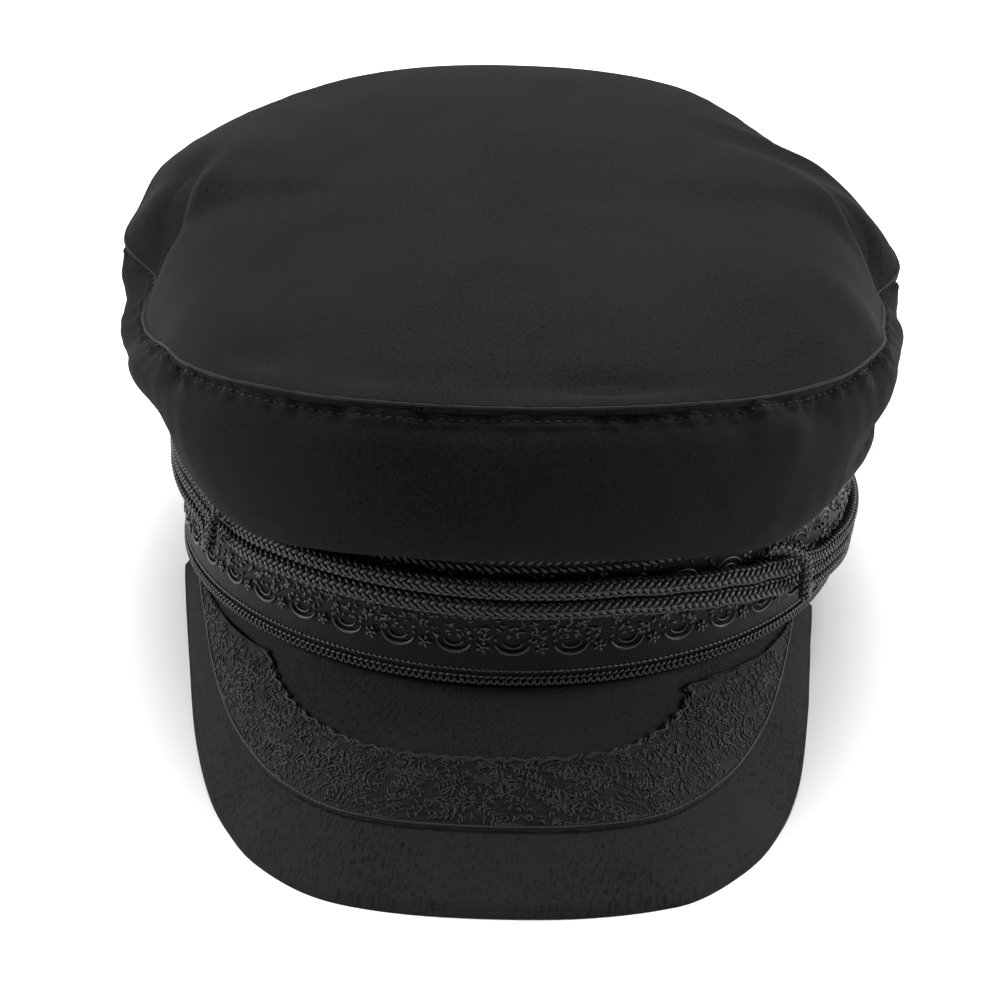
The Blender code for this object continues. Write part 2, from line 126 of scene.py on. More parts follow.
# Puckers of the side panel: angle, spread in degrees, share of the way up, its spread, and depth.
SIDE_PUCKERS = (
    (-57, 3.0, 0.86, 0.10, -0.0016),
    (-51, 2.6, 0.90, 0.09, 0.0012),
    (-22, 4.0, 0.93, 0.07, -0.0010),
    (-13, 3.0, 0.94, 0.06, 0.0006),
    (14, 4.5, 0.94, 0.06, -0.0011),
    (31, 2.2, 0.86, 0.14, -0.0010),
    (35, 2.4, 0.88, 0.12, 0.0011),
    (47, 5.0, 0.80, 0.12, -0.0015),
    (40, 5.0, 0.72, 0.12, 0.0012),
    (62, 3.0, 0.88, 0.10, 0.0013),
    (67, 2.8, 0.88, 0.10, -0.0013),
    (-75, 6.0, 0.70, 0.20, 0.0012),
    (150, 9.0, 0.75, 0.20, -0.0025),
    (172, 7.0, 0.80, 0.18, 0.0015),
    (-165, 8.0, 0.70, 0.25, -0.0018),
    (-128, 8.0, 0.70, 0.25, 0.0016),
    (118, 7.0, 0.65, 0.25, -0.0016),
    (75, 7.0, 0.55, 0.20, 0.0012),
    (-95, 6.0, 0.45, 0.20, -0.0016),
)
PUCKER_STRENGTH = 1.3
# Slow and fine unevenness of each cloth: depth, wavelength and seed.
SIDE_UNEVENNESS = ((0.0004, 0.034, 3), (0.00016, 0.011, 4))
TOP_UNEVENNESS = ((0.00022, 0.070, 11), (0.00012, 0.020, 12))
PEAK_UNEVENNESS = ((0.00016, 0.045, 21), (0.00005, 0.012, 22))
NET_UNEVENNESS = ((0.00010, 0.0065, 31), (0.00010, 0.0032, 32))
# Dents and folds of the top panel: centre, half lengths, turn of its long side in degrees, and depth.
TOP_DENTS = (
    (0.024, -0.0955, 0.0190, 0.0050, 6, -0.0022),
    (0.062, -0.0850, 0.0110, 0.0050, 24, -0.0013),
    (-0.059, -0.0780, 0.0110, 0.0070, -40, -0.0020),
    (-0.030, -0.0930, 0.0180, 0.0060, -8, -0.0009),
    (0.082, 0.0220, 0.0038, 0.0160, 31, 0.0018),
    (0.088, 0.0260, 0.0045, 0.0150, 31, -0.0036),
    (-0.080, 0.0240, 0.0040, 0.0240, -15, 0.0018),
    (-0.087, 0.0270, 0.0050, 0.0220, -15, -0.0034),
    (0.078, 0.0620, 0.0040, 0.0220, 58, 0.0018),
    (0.072, 0.0530, 0.0050, 0.0200, 58, -0.0012),
    (0.010, 0.0650, 0.0500, 0.0200, 4, -0.0005),
)

# Seam round the top panel: its rolled edge, and the double layer pressed down below it, which is drawn in
# at its stitches and gathered beside them. Each gather has its depth, number round the seam, and start.
SEAM_ROLL = 0.0006
SEAM_ROLL_DROP = 2.2 * SEAM_ROLL
SEAM_EDGE_RADIUS = 0.00038
SEAM_LAYER = 0.0005
SEAM_LAYER_HEIGHT = 0.0042
SEAM_LAYER_STEP = 0.0012
SEAM_TUCK = 0.0007
SEAM_TUCK_IN = 0.0008
SEAM_GATHERS = ((0.00020, 96, 0), (0.00016, 61, 1))
GATHER_STRENGTH = 2.2
STITCH_DROP = 0.0026
STITCH_GROOVE = 0.00050
STITCH_SPACING = 1.45
STITCH_WIDTH = 0.00055
STITCH_HEIGHT = 0.0005
STITCH_LIFT = 0.00012

# Trim: heights of its edges above the rim, how far its face and edges stand out, and its beads' length,
# width and height.
TRIM_LOW = 0.0010
TRIM_HIGH = 0.0355
TRIM_FACE = 0.0009
TRIM_EDGE_DEPTH = 0.0018
TRIM_SEGMENTS = 72
TRIM_RIB = 0.00012
TRIM_RIB_PITCH = 0.0031
PICOT_RADIUS = 0.00032
KNOT_BEAD = (0.0017, 0.0008, 0.0008)
FILLING_BEAD = (0.0015, 0.0008, 0.0008)
CHAIN_BEAD = (0.0026, 0.0011, 0.0010)
BUD_BEAD = (0.0010, 0.0010, 0.0008)
FLORET_BEAD = (0.0013, 0.0009, 0.0008)
FLORET_RADIUS = 0.0011
# Clusters of the trim's filling: beads, place along the pattern, half width, height, half height.
FILLING_CLUSTERS = (
    (20, 0.0, 0.0046, 0.0156, 0.0034),
    (14, 0.5, 0.0034, 0.0172, 0.0044),
    (6, 0.5, 0.0018, 0.0128, 0.0022),
    (9, 0.5, 0.0040, 0.0272, 0.0036),
)

# Cords: their radius in front and behind, the angles between which they thin, and the route of the middle
# of the pair, as angle round the band and height above the rim.
PAIR_RADIUS = 0.0024
PAIR_SIDE_RADIUS = 0.0018
PAIR_THIN_ANGLES = (44, 60)
PAIR_ROUTE = (
    (-150, 0.0270), (-110, 0.0285), (-85, 0.0290), (-68, 0.0280), (-55, 0.0250), (-47, 0.0244),
    (-38, 0.0248), (-19, 0.0248), (0, 0.0246), (15, 0.0245), (24, 0.0232), (33, 0.0216),
    (41, 0.0197), (50, 0.0176), (62, 0.0150), (77, 0.0128), (95, 0.0125), (120, 0.0150),
    (150, 0.0205), (180, 0.0245),
)
# Third cord: where it hooks over the pair, its way round each hook, as degrees behind it, height over the
# middle of the pair and how far out, and how far over that middle it runs round the back.
KNOT_ANGLES = (-52.0, 48.0)
KNOT_ROUTE = (
    (-6.0, 0.0080, -0.0002), (-3.5, 0.0083, 0.0012), (-1.0, 0.0070, 0.0034), (0.6, 0.0036, 0.0049),
    (1.2, -0.0010, 0.0050), (2.4, -0.0050, 0.0046), (5.2, -0.0062, 0.0026), (9.5, -0.0060, 0.0000),
)
TIE_BACK_UP = -0.0060
TIE_RADIUS = 0.0018
GRAIN_HEIGHT = 0.0012
GRAIN_WIDTH = 0.00125
GRAIN_OVERLAP = 1.30
CORE_SHARE = 0.92
CORE_SIDES = 12

# Peak: angles of its root's ends, then points of its free edge from -X round the front to +X, as x,
# distance to the front of the rim's middle, and height above the surface that the cap rests on.
PEAK_ROOT_ANGLES = (-81.0, 67.0)
PEAK_EDGE = (
    (-0.0815, 0.0190, 0.0195), (-0.0803, 0.0330, 0.0168), (-0.0789, 0.0460, 0.0130),
    (-0.0760, 0.0690, 0.0068), (-0.0715, 0.0880, 0.0032), (-0.0660, 0.1018, 0.0020),
    (-0.0592, 0.1136, 0.0018), (-0.0470, 0.1249, 0.0018), (-0.0328, 0.1306, 0.0021),
    (-0.0120, 0.1334, 0.0024), (0.0160, 0.1331, 0.0024), (0.0370, 0.1288, 0.0021),
    (0.0482, 0.1228, 0.0018), (0.0596, 0.1100, 0.0018), (0.0660, 0.0972, 0.0020),
    (0.0708, 0.0830, 0.0042), (0.0732, 0.0680, 0.0090), (0.0745, 0.0500, 0.0165),
    (0.0752, 0.0360, 0.0220),
)
PEAK_THICKNESS = 0.0028
PEAK_BULGE = 0.0040
PEAK_ROOT_DEPTH = 0.001
PEAK_PACKING = 0.9
PEAK_RIM_SHARE = 0.985
PEAK_WELT = 0.00022
PEAK_ROUNDING = 0.0007
PEAK_EDGE_ROLL = 0.0006
# Applique: how far its outer and inner edges reach along the peak's root and out from it, its own length and
# width, and what is stitched on it.
APPLIQUE_OUTER = (0.46, 0.72)
APPLIQUE_INNER = (0.255, 0.42)
APPLIQUE_SQUARENESS = 2.6
APPLIQUE_LENGTH = 0.235
APPLIQUE_WIDTH = 0.030
APPLIQUE_LIFT = 0.0011
APPLIQUE_THICKNESS = 0.0009
# Its ragged inner edge: share of the width, number along it, and start.
APPLIQUE_SCALLOPS = ((0.022, 31, 0), (0.014, 47, 1))
MOTIFS = 17
LEAF_SHARES = (0.14, 0.34, 0.52, 0.70, 0.88)
# Rings of a flower's stitches: radius, number and size.
FLOWER_RINGS = ((0.0013, 5, 0.8), (0.0027, 9, 0.9), (0.0042, 14, 1.0))
OUTER_EDGE_STITCHES = 240
INNER_EDGE_STITCHES = 200
LOOSE_STITCHES = 1700
SATIN_STITCH = (0.0020, 0.00060, 0.00045)
STITCHES_LIFT = 0.0013
LEAF_STEP = 0.0013

# Camera in the cap's own level frame: what it looks at, its height angle, distance, lens and roll.
CAMERA_TARGET = (-0.0027, 0.0, 0.00917)
CAMERA_HEIGHT_ANGLE = math.radians(21.2)
CAMERA_DISTANCE = 1.25
CAMERA_LENS = 176.8
CAMERA_ROLL = math.radians(1.155)
# Lights, aimed at the middle of the cap: name, place, size and power.
LIGHTS = (
    ("top_light", (0.0, 0.65, 1.6), 1.6, 54),
    ("left_light", (-1.6, 0.1, 0.7), 1.0, 25),
    ("right_light", (1.6, 0.1, 0.7), 1.0, 25),
)
LIGHT_TARGET = (0, 0, 0.05)
FLOOR_RADII = (0.5, 4.0)
FLOOR_SIDES = 64

# How finely the pieces are made.
SIDE_COLUMNS = 480
SIDE_ROWS = 64
SIDE_COARSE_STEP = 6
TOP_ROWS = 72
TOP_FOLD_ROWS = 14
TOP_COARSE_STEP = 6
BAND_ROWS = 14
TRIM_ROWS = 26
TRIM_LINE_POINTS = 720
PEAK_COLUMNS = 260
PEAK_ROWS = 56
PEAK_COARSE_ROWS = 14
NET_COLUMNS = 320
NET_ROWS = 26
NET_COARSE_STEP = 5


# ---- shapes


def bell(value, centre, spread):
    return np.exp(-(((value - centre) / spread) ** 2))


def angle_bell(angle, centre, spread):
    """A smooth bump of height 1 at an angle in degrees."""
    return bell((angle - centre + 180) % 360 - 180, 0.0, spread)


def eased(share):
    share = np.clip(share, 0.0, 1.0)
    return share * share * (3 - 2 * share)


def signed_power(value, exponent):
    return np.sign(value) * np.abs(value) ** exponent


def unit(vectors):
    length = np.linalg.norm(vectors, axis=-1, keepdims=True)
    return vectors / np.maximum(length, 1e-12)


def facing_up(normals):
    return np.where(normals[..., 2:3] < 0, -normals, normals)


def travelled(points, closed=False):
    """Distances along a line of points from its first point, and back to that point if it is closed."""
    if closed:
        points = np.concatenate([points, points[:1]])
    return np.concatenate([[0], np.cumsum(np.linalg.norm(np.diff(points, axis=0), axis=-1))])


def around(angle, front, side, back):
    """A value that goes smoothly from the front to the sides and on to the back."""
    facing = np.cos(np.radians(angle))
    end = np.where(facing > 0, front, back)
    return side + (end - side) * facing * facing


def oval(angle, half_width, half_front, half_back, squareness=2.0):
    """Points of an oval at rim height."""
    across = np.sin(np.radians(angle))
    along = np.cos(np.radians(angle))
    half_length = np.where(along > 0, half_front, half_back)
    x = half_width * signed_power(across, 2 / squareness)
    y = -half_length * signed_power(along, 2 / squareness)
    return np.stack([x, y, np.zeros_like(x)], axis=-1)


def band_outwards(angle):
    half_width, half_front, half_back = BAND_HALF
    foot = oval(angle, half_width, half_front, half_back)
    half_length = np.where(foot[..., 1] < 0, half_front, half_back)
    slope = [foot[..., 0] / half_width**2, foot[..., 1] / half_length**2, np.zeros_like(half_length)]
    return unit(np.stack(slope, axis=-1))


def band_point(angle, height, lift=0.0):
    """Points at a height above the rim, lifted outwards from the band's outer face."""
    angle = np.asarray(angle, float)
    height = np.broadcast_to(np.asarray(height, float), angle.shape)
    lean = around(angle, BAND_LEAN_FRONT, BAND_LEAN_SIDE, BAND_LEAN_FRONT) * height / BAND_TOP
    point = oval(angle, *BAND_HALF) + band_outwards(angle) * (lean + lift)[..., None]
    point[..., 0] += BAND_SKEW * height / BAND_TOP
    point[..., 2] += height
    return point


def spline_at(points, place):
    """A smooth curve through rows of values, read at a place counted in rows."""
    points = np.asarray(points, float)
    last = len(points) - 1
    place = np.clip(np.asarray(place, float), 0, last)
    index = np.minimum(place.astype(int), last - 1)
    local = (place - index)[..., None]
    before, start, end, after = (points[np.clip(index + step, 0, last)] for step in (-1, 0, 1, 2))
    return 0.5 * (
        2 * start
        + (end - before) * local
        + (2 * before - 5 * start + 4 * end - after) * local**2
        + (3 * start - before - 3 * end + after) * local**3
    )


def seam_shape(angle):
    """How far out and how far down the crown's seam lies at an angle, smoothly from row to row."""
    turn = np.array([360.0, 0.0, 0.0])
    rows = np.array(SEAM_SHAPE, float)
    rows = np.concatenate([[rows[-1] - turn], rows, [rows[0] + turn, rows[1] + turn]])
    wrapped = (np.asarray(angle, float) - rows[1, 0]) % 360 + rows[1, 0]
    index = np.clip(np.searchsorted(rows[:, 0], wrapped, side="right") - 1, 1, len(rows) - 3)
    before, start, end, after = (rows[index + step] for step in (-1, 0, 1, 2))
    width = (end - start)[..., :1]
    local = (wrapped[..., None] - start[..., :1]) / width
    start_slope = (end - before) * width / (end - before)[..., :1]
    end_slope = (after - start) * width / (after - start)[..., :1]
    value = start * (2 * local**3 - 3 * local**2 + 1) + end * (3 * local**2 - 2 * local**3)
    value += start_slope * (local**3 - 2 * local**2 + local) + end_slope * (local**3 - local**2)
    return value[..., 1], value[..., 2]


def side_point(angle, share):
    """Points of the crown's side panel, where share is 0 at the band and 1 at the seam."""
    ring = spline_at(SIDE_RINGS, share * (len(SIDE_RINGS) - 1))
    half_width, half_front, half_back, front, side, back, droop_share = ring
    point = oval(angle, half_width, half_front, half_back, CROWN_SQUARENESS)
    seam_out, seam_down = seam_shape(angle)
    droop = sum(down * angle_bell(angle, centre, spread) for centre, spread, down in CROWN_DROOPS)
    bulge = sum(
        out * angle_bell(angle, centre, spread) * bell(share, height, height_spread)
        for centre, spread, height, height_spread, out in SIDE_BULGES
    )
    point += unit(point) * (seam_out * share**SEAM_PULL + bulge)[..., None]
    point[..., 0] += BAND_SKEW + (CROWN_SIDE_SHIFT - BAND_SKEW) * share
    full_height = around(angle, *SIDE_RINGS[-1][3:6]) - BAND_TOP
    height = around(angle, front, side, back) - BAND_TOP
    point[..., 2] = BAND_TOP + height * (1 - seam_down / full_height) - droop * droop_share
    return point


def top_point(angle, share):
    """Points of the crown's top panel, where share is 0 in its middle and 1 at the seam."""
    seam = side_point(angle, 1.0)
    front_height, side_height, back_height = SIDE_RINGS[-1][3:6]
    facing = np.cos(np.radians(angle))
    puffed_height = side_height - (back_height - front_height) / 2 * facing
    puffed_height = puffed_height + ((front_height + back_height) / 2 - side_height) * facing**2
    point = seam * share
    point[..., 2] = side_height + (puffed_height - side_height) * share
    point[..., 2] += TOP_RISE * (1 - share**TOP_ROUNDNESS)
    point[..., 2] += (seam[..., 2] - puffed_height) * share**TOP_FOLD_SHARPNESS
    return point


def height_over_surface(rows):
    """Points at heights above the surface that the tilted cap rests on, in the cap's level frame."""
    x, front, height = np.asarray(rows, float).T
    z = (height - REST_LIFT - front * math.sin(REST_TILT)) / math.cos(REST_TILT)
    return np.stack([x, -front, z], axis=-1)


def peak_point(along, out):
    """Points of the peak's upper face: along its root from -X to +X, and out from root to edge."""
    along = np.asarray(along, float)
    out = np.broadcast_to(np.asarray(out, float), along.shape)
    first, last = PEAK_ROOT_ANGLES
    angle = first + (last - first) * along
    root = band_point(angle, around(angle, *BAND_BOTTOM) - GAP, -PEAK_ROOT_DEPTH)
    edge = spline_at(height_over_surface(PEAK_EDGE), along * (len(PEAK_EDGE) - 1))
    point = root + (edge - root) * out[..., None]
    point[..., 2] += PEAK_BULGE * 4 * out * (1 - out) * np.sin(math.pi * along)
    return point


def rest_matrix():
    """From the cap's level frame to its place at rest, found from where the lace trim's solid lies."""
    turn = Matrix.Rotation(-REST_TILT, 4, "X")
    angle = np.arange(TRIM_SEGMENTS) * 360 / TRIM_SEGMENTS
    corners = [
        band_point(angle, height, GAP + depth)
        for height in (TRIM_LOW, TRIM_HIGH)
        for depth in (0.0, TRIM_EDGE_DEPTH)
    ]
    turned = np.concatenate(corners) @ np.array(turn.to_3x3()).T
    low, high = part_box("lace_trim")
    middle = (np.array(low) + np.array(high)) / 2
    move = middle - (turned.min(axis=0) + turned.max(axis=0)) / 2
    return Matrix.Translation(Vector(move)) @ turn


REST = rest_matrix()


def to_rest(points):
    matrix = np.array(REST)
    return np.asarray(points) @ matrix[:3, :3].T + matrix[:3, 3]


def turn_to_rest(vectors):
    return np.asarray(vectors) @ np.array(REST)[:3, :3].T


def unevenness(points, wavelength, seed):
    """Smooth random-looking values from -1 to 1, the same on every run."""
    dice = np.random.default_rng(seed)
    total = np.zeros(points.shape[:-1])
    for _ in range(7):
        direction = unit(dice.normal(size=3))
        stretch = dice.uniform(0.7, 1.5)
        phase = dice.uniform(0, 2 * math.pi)
        total += np.sin(points @ direction * (2 * math.pi * stretch / wavelength) + phase)
    return total / 3.5


def uneven_cloth(points, layers):
    return sum(depth * unevenness(points, wavelength, seed) for depth, wavelength, seed in layers)


def grid_normals(rows, closed_round):
    """Outward normals of a grid of points: its columns run anticlockwise and its rows run upwards."""
    if closed_round:
        across = np.roll(rows, -1, axis=1) - np.roll(rows, 1, axis=1)
    else:
        across = np.gradient(rows, axis=1)
    upwards = np.gradient(rows, axis=0)
    return unit(np.cross(across, upwards))


# ---- meshes


def add_object(name, data):
    """A new object in the scene for a mesh, a lamp or a camera."""
    made = bpy.data.objects.new(name, data)
    bpy.context.scene.collection.objects.link(made)
    return made


def smooth_mesh(name, shape):
    """A smooth mesh of a finished bmesh."""
    mesh = bpy.data.meshes.new(name)
    shape.to_mesh(mesh)
    shape.free()
    mesh.shade_smooth()
    return mesh


def grid_object(name, rows, material, closed_round, closed_along=False, poles=(), caps=False, uv=None):
    """An object from rows of points in the cap's level frame; poles close the first and last rows."""
    rows = np.asarray(rows)
    row_count, column_count = rows.shape[:2]
    points = to_rest(rows.reshape(-1, 3))
    row_steps = row_count if closed_along else row_count - 1
    column_steps = column_count if closed_round else column_count - 1
    row, column = np.meshgrid(np.arange(row_steps), np.arange(column_steps), indexing="ij")
    next_row = (row + 1) % row_count
    next_column = (column + 1) % column_count
    corners = [
        row * column_count + column,
        row * column_count + next_column,
        next_row * column_count + next_column,
        next_row * column_count + column,
    ]
    faces = np.stack(corners, axis=-1).reshape(-1, 4).tolist()
    if poles:
        points = np.concatenate([points, to_rest(np.array(poles))])
        first_pole = row_count * column_count
        last_row = (row_count - 1) * column_count
        for index in range(column_count):
            following = (index + 1) % column_count
            faces.append((following, index, first_pole))
            faces.append((last_row + index, last_row + following, first_pole + 1))
    if caps:
        faces.append([index * column_count for index in range(row_count)])
        faces.append([index * column_count + column_count - 1 for index in reversed(range(row_count))])
    mesh = bpy.data.meshes.new(name)
    mesh.from_pydata(points.tolist(), [], faces)
    mesh.shade_smooth()
    if uv is not None:
        set_uv(mesh, uv, rows, faces)
    turn_outwards(mesh)
    mesh.materials.append(material)
    return add_object(name, mesh)


def turn_outwards(mesh):
    """Turn the faces of a closed shell outwards."""
    shape = bmesh.new()
    shape.from_mesh(mesh)
    if shape.calc_volume(signed=True) < 0:
        bmesh.ops.reverse_faces(shape, faces=shape.faces)
        shape.to_mesh(mesh)
    shape.free()


def set_uv(mesh, uv, rows, faces):
    """Lay out the cloth in metres: uv is flat, seen from above, or an array with a column to spare."""
    layer = mesh.uv_layers.new(name="cloth")
    column_count = rows.shape[1]
    level = rows.reshape(-1, 3)
    values = []
    for face in faces:
        wraps = max(face) < len(level) and len(face) == 4
        columns = [corner % column_count for corner in face]
        crossing = wraps and max(columns) - min(columns) > 1
        for corner, column in zip(face, columns):
            if corner >= len(level):
                values.append((0.0, 0.0))
            elif isinstance(uv, str):
                values.append((level[corner][0], level[corner][1]))
            else:
                used = column_count if crossing and column == 0 else column
                values.append(tuple(uv[corner // column_count][used]))
    layer.data.foreach_set("uv", np.array(values, np.float32).ravel())


def cloth_layout(ring, heights):
    """Cloth laid out in metres, round a ring of it and up its rows, with a column to spare."""
    return np.stack(np.meshgrid(travelled(ring, closed=True), heights), axis=-1)


def row_heights(shell):
    """How far up the cloth each row of a shell lies."""
    steps = np.linalg.norm(np.diff(shell, axis=0), axis=-1).mean(axis=1)
    return np.concatenate([[0], np.cumsum(steps)])


def finish_piece(piece, replaced):
    if replaced:
        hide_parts(*replaced)
    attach(piece, BODY)


def tube_mesh(name, points, radii, sides=5):
    """A closed tube through points in the XY plane, for small motifs."""
    shape = bmesh.new()
    rings = []
    for index, point in enumerate(points):
        ahead = Vector(points[min(index + 1, len(points) - 1)]) - Vector(points[max(index - 1, 0)])
        across = ahead.normalized().cross(Vector((0, 0, 1)))
        ring = []
        for side in range(sides):
            turn = 2 * math.pi * side / sides
            offset = across * math.cos(turn) + Vector((0, 0, 1)) * math.sin(turn)
            ring.append(shape.verts.new(Vector(point) + offset * radii[index]))
        rings.append(ring)
    for lower, upper in zip(rings, rings[1:]):
        for side in range(sides):
            following = (side + 1) % sides
            shape.faces.new((lower[side], lower[following], upper[following], upper[side]))
    shape.faces.new(rings[0])
    shape.faces.new(rings[-1])
    bmesh.ops.recalc_face_normals(shape, faces=shape.faces)
    return smooth_mesh(name, shape)


def grain_mesh(name, length, width, height, segments=6, rings=4):
    """One stitch or grain of thread: a small rounded body along X, on the XY plane."""
    shape = bmesh.new()
    bmesh.ops.create_uvsphere(shape, u_segments=segments, v_segments=rings, radius=0.5)
    turn = Matrix.Rotation(math.pi / 2, 4, "Y")
    scale = Matrix.Diagonal((length, width, height, 1))
    bmesh.ops.transform(shape, matrix=scale @ turn, verts=shape.verts)
    return smooth_mesh(name, shape)


def join_meshes(name, parts):
    """One mesh from (mesh, matrix) pairs."""
    shape = bmesh.new()
    for mesh, matrix in parts:
        placed = mesh.copy()
        placed.transform(matrix)
        shape.from_mesh(placed)
        bpy.data.meshes.remove(placed)
    return smooth_mesh(name, shape)


def guide_object(name, points, outwards, closed=True, sizes=None, along=None):
    """A line or a set of loose points that carries which way is out, for motifs to follow."""
    mesh = bpy.data.meshes.new(name)
    count = len(points)
    edges = []
    if along is None:
        edges = [(index, index + 1) for index in range(count - 1)]
        if closed:
            edges.append((count - 1, 0))
    mesh.from_pydata(to_rest(points).tolist(), edges, [])
    store_vectors(mesh, "outwards", turn_to_rest(outwards))
    if along is not None:
        store_vectors(mesh, "along", turn_to_rest(along))
    if sizes is not None:
        attribute = mesh.attributes.new("size", "FLOAT", "POINT")
        attribute.data.foreach_set("value", np.asarray(sizes, np.float32))
    return add_object(name, mesh)


def store_vectors(mesh, name, vectors):
    attribute = mesh.attributes.new(name, "FLOAT_VECTOR", "POINT")
    attribute.data.foreach_set("vector", np.asarray(vectors, np.float32).ravel())


# ---- geometry nodes


def new_tree(name, inputs):
    """A geometry node tree with named inputs, ending in one geometry output."""
    tree = bpy.data.node_groups.new(name, "GeometryNodeTree")
    tree.interface.new_socket("Geometry", in_out="INPUT", socket_type="NodeSocketGeometry")
    for label, kind in inputs:
        tree.interface.new_socket(label, in_out="INPUT", socket_type=kind)
    tree.interface.new_socket("Geometry", in_out="OUTPUT", socket_type="NodeSocketGeometry")
    start = tree.nodes.new("NodeGroupInput")
    end = tree.nodes.new("NodeGroupOutput")
    return tree, start, end


def add_node(tree, kind, links=None, **settings):
    """Add a node; links gives its inputs by index or name, as sockets to link or as values."""
    made = tree.nodes.new(kind)
    for key, value in settings.items():
        setattr(made, key, value)
    for key, value in (links or {}).items():
        target = made.inputs[key]
        if isinstance(value, bpy.types.NodeSocket):
            tree.links.new(value, target)
        else:
            target.default_value = value
    return made


def named(tree, name, kind="FLOAT_VECTOR"):
    made = add_node(tree, "GeometryNodeInputNamedAttribute", {"Name": name}, data_type=kind)
    return made.outputs["Attribute"]


def stored(tree, geometry, name, value):
    """Geometry that carries a vector by name."""
    links = {"Geometry": geometry, "Name": name, "Value": value}
    made = add_node(
        tree, "GeometryNodeStoreNamedAttribute", links, data_type="FLOAT_VECTOR", domain="POINT"
    )
    return made.outputs[0]


def math_node(tree, operation, first, second, third=0.0):
    links = {0: first, 1: second}
    if operation == "MULTIPLY_ADD":
        links[2] = third
    return add_node(tree, "ShaderNodeMath", links, operation=operation).outputs[0]


def aligned(tree, outwards, along):
    """A rotation whose Z points outwards and whose X runs along."""
    kind = "FunctionNodeAlignRotationToVector"
    standing = add_node(tree, kind, {"Vector": outwards}, axis="Z", pivot_axis="AUTO").outputs[0]
    links = {"Rotation": standing, "Vector": along}
    return add_node(tree, kind, links, axis="X", pivot_axis="Z").outputs[0]


def turned_by(tree, rotation, turn):
    links = {"Rotation": rotation, "Rotate By": turn}
    return add_node(tree, "FunctionNodeRotateRotation", links, rotation_space="LOCAL").outputs[0]


def even_line(tree, start, count):
    """The guide line as a curve of evenly spaced points."""
    line = add_node(tree, "GeometryNodeMeshToCurve", {"Mesh": start.outputs["Geometry"]})
    links = {"Curve": line.outputs[0], "Count": start.outputs[count]}
    return add_node(tree, "GeometryNodeResampleCurve", links, mode="COUNT").outputs[0]


def shifted(tree, geometry, direction, distance):
    """Points moved a distance in a direction."""
    links = {0: direction, "Scale": distance}
    step = add_node(tree, "ShaderNodeVectorMath", links, operation="SCALE").outputs["Vector"]
    return add_node(tree, "GeometryNodeSetPosition", {"Geometry": geometry, "Offset": step}).outputs[0]


def swept(tree, line, sides, radius, thickness, caps=False):
    """A round skin along a line, as thick as the line says."""
    links = {"Resolution": sides, "Radius": radius}
    circle = add_node(tree, "GeometryNodeCurvePrimitiveCircle", links, mode="RADIUS").outputs[0]
    links = {"Curve": line, "Profile Curve": circle, "Scale": thickness, "Fill Caps": caps}
    return add_node(tree, "GeometryNodeCurveToMesh", links).outputs[0]


def placed(tree, motif, points, rotation, size=(1, 1, 1)):
    """The motif's object on each of the points."""
    shape = add_node(tree, "GeometryNodeObjectInfo", {"Object": motif}).outputs["Geometry"]
    links = {"Points": points, "Instance": shape, "Rotation": rotation, "Scale": size}
    return add_node(tree, "GeometryNodeInstanceOnPoints", links).outputs[0]


def end_tree(tree, geometry, material, end):
    """Realize what was placed, give it its material, and send it out."""
    real = add_node(tree, "GeometryNodeRealizeInstances", {"Geometry": geometry}).outputs[0]
    painted = add_node(tree, "GeometryNodeSetMaterial", {"Geometry": real, "Material": material})
    tree.links.new(painted.outputs[0], end.inputs[0])


def motif_row_tree():
    """Motifs set at even steps along a guide line."""
    inputs = (
        ("Motif", "NodeSocketObject"),
        ("Count", "NodeSocketInt"),
        ("Start", "NodeSocketFloat"),
        ("Turn", "NodeSocketRotation"),
        ("Material", "NodeSocketMaterial"),
    )
    tree, start, end = new_tree("motif_row", inputs)
    given = start.outputs
    tangent = add_node(tree, "GeometryNodeInputTangent").outputs[0]
    points = shifted(tree, even_line(tree, start, "Count"), tangent, given["Start"])
    rotation = turned_by(tree, aligned(tree, named(tree, "outwards"), tangent), given["Turn"])
    end_tree(tree, placed(tree, given["Motif"], points, rotation), given["Material"], end)


def motif_scatter_tree():
    """Motifs set on loose points, each with its own direction and size."""
    inputs = (("Motif", "NodeSocketObject"), ("Material", "NodeSocketMaterial"))
    tree, start, end = new_tree("motif_scatter", inputs)
    given = start.outputs
    rotation = aligned(tree, named(tree, "outwards"), named(tree, "along"))
    size = named(tree, "size", "FLOAT")
    motifs = placed(tree, given["Motif"], given["Geometry"], rotation, size)
    end_tree(tree, motifs, given["Material"], end)


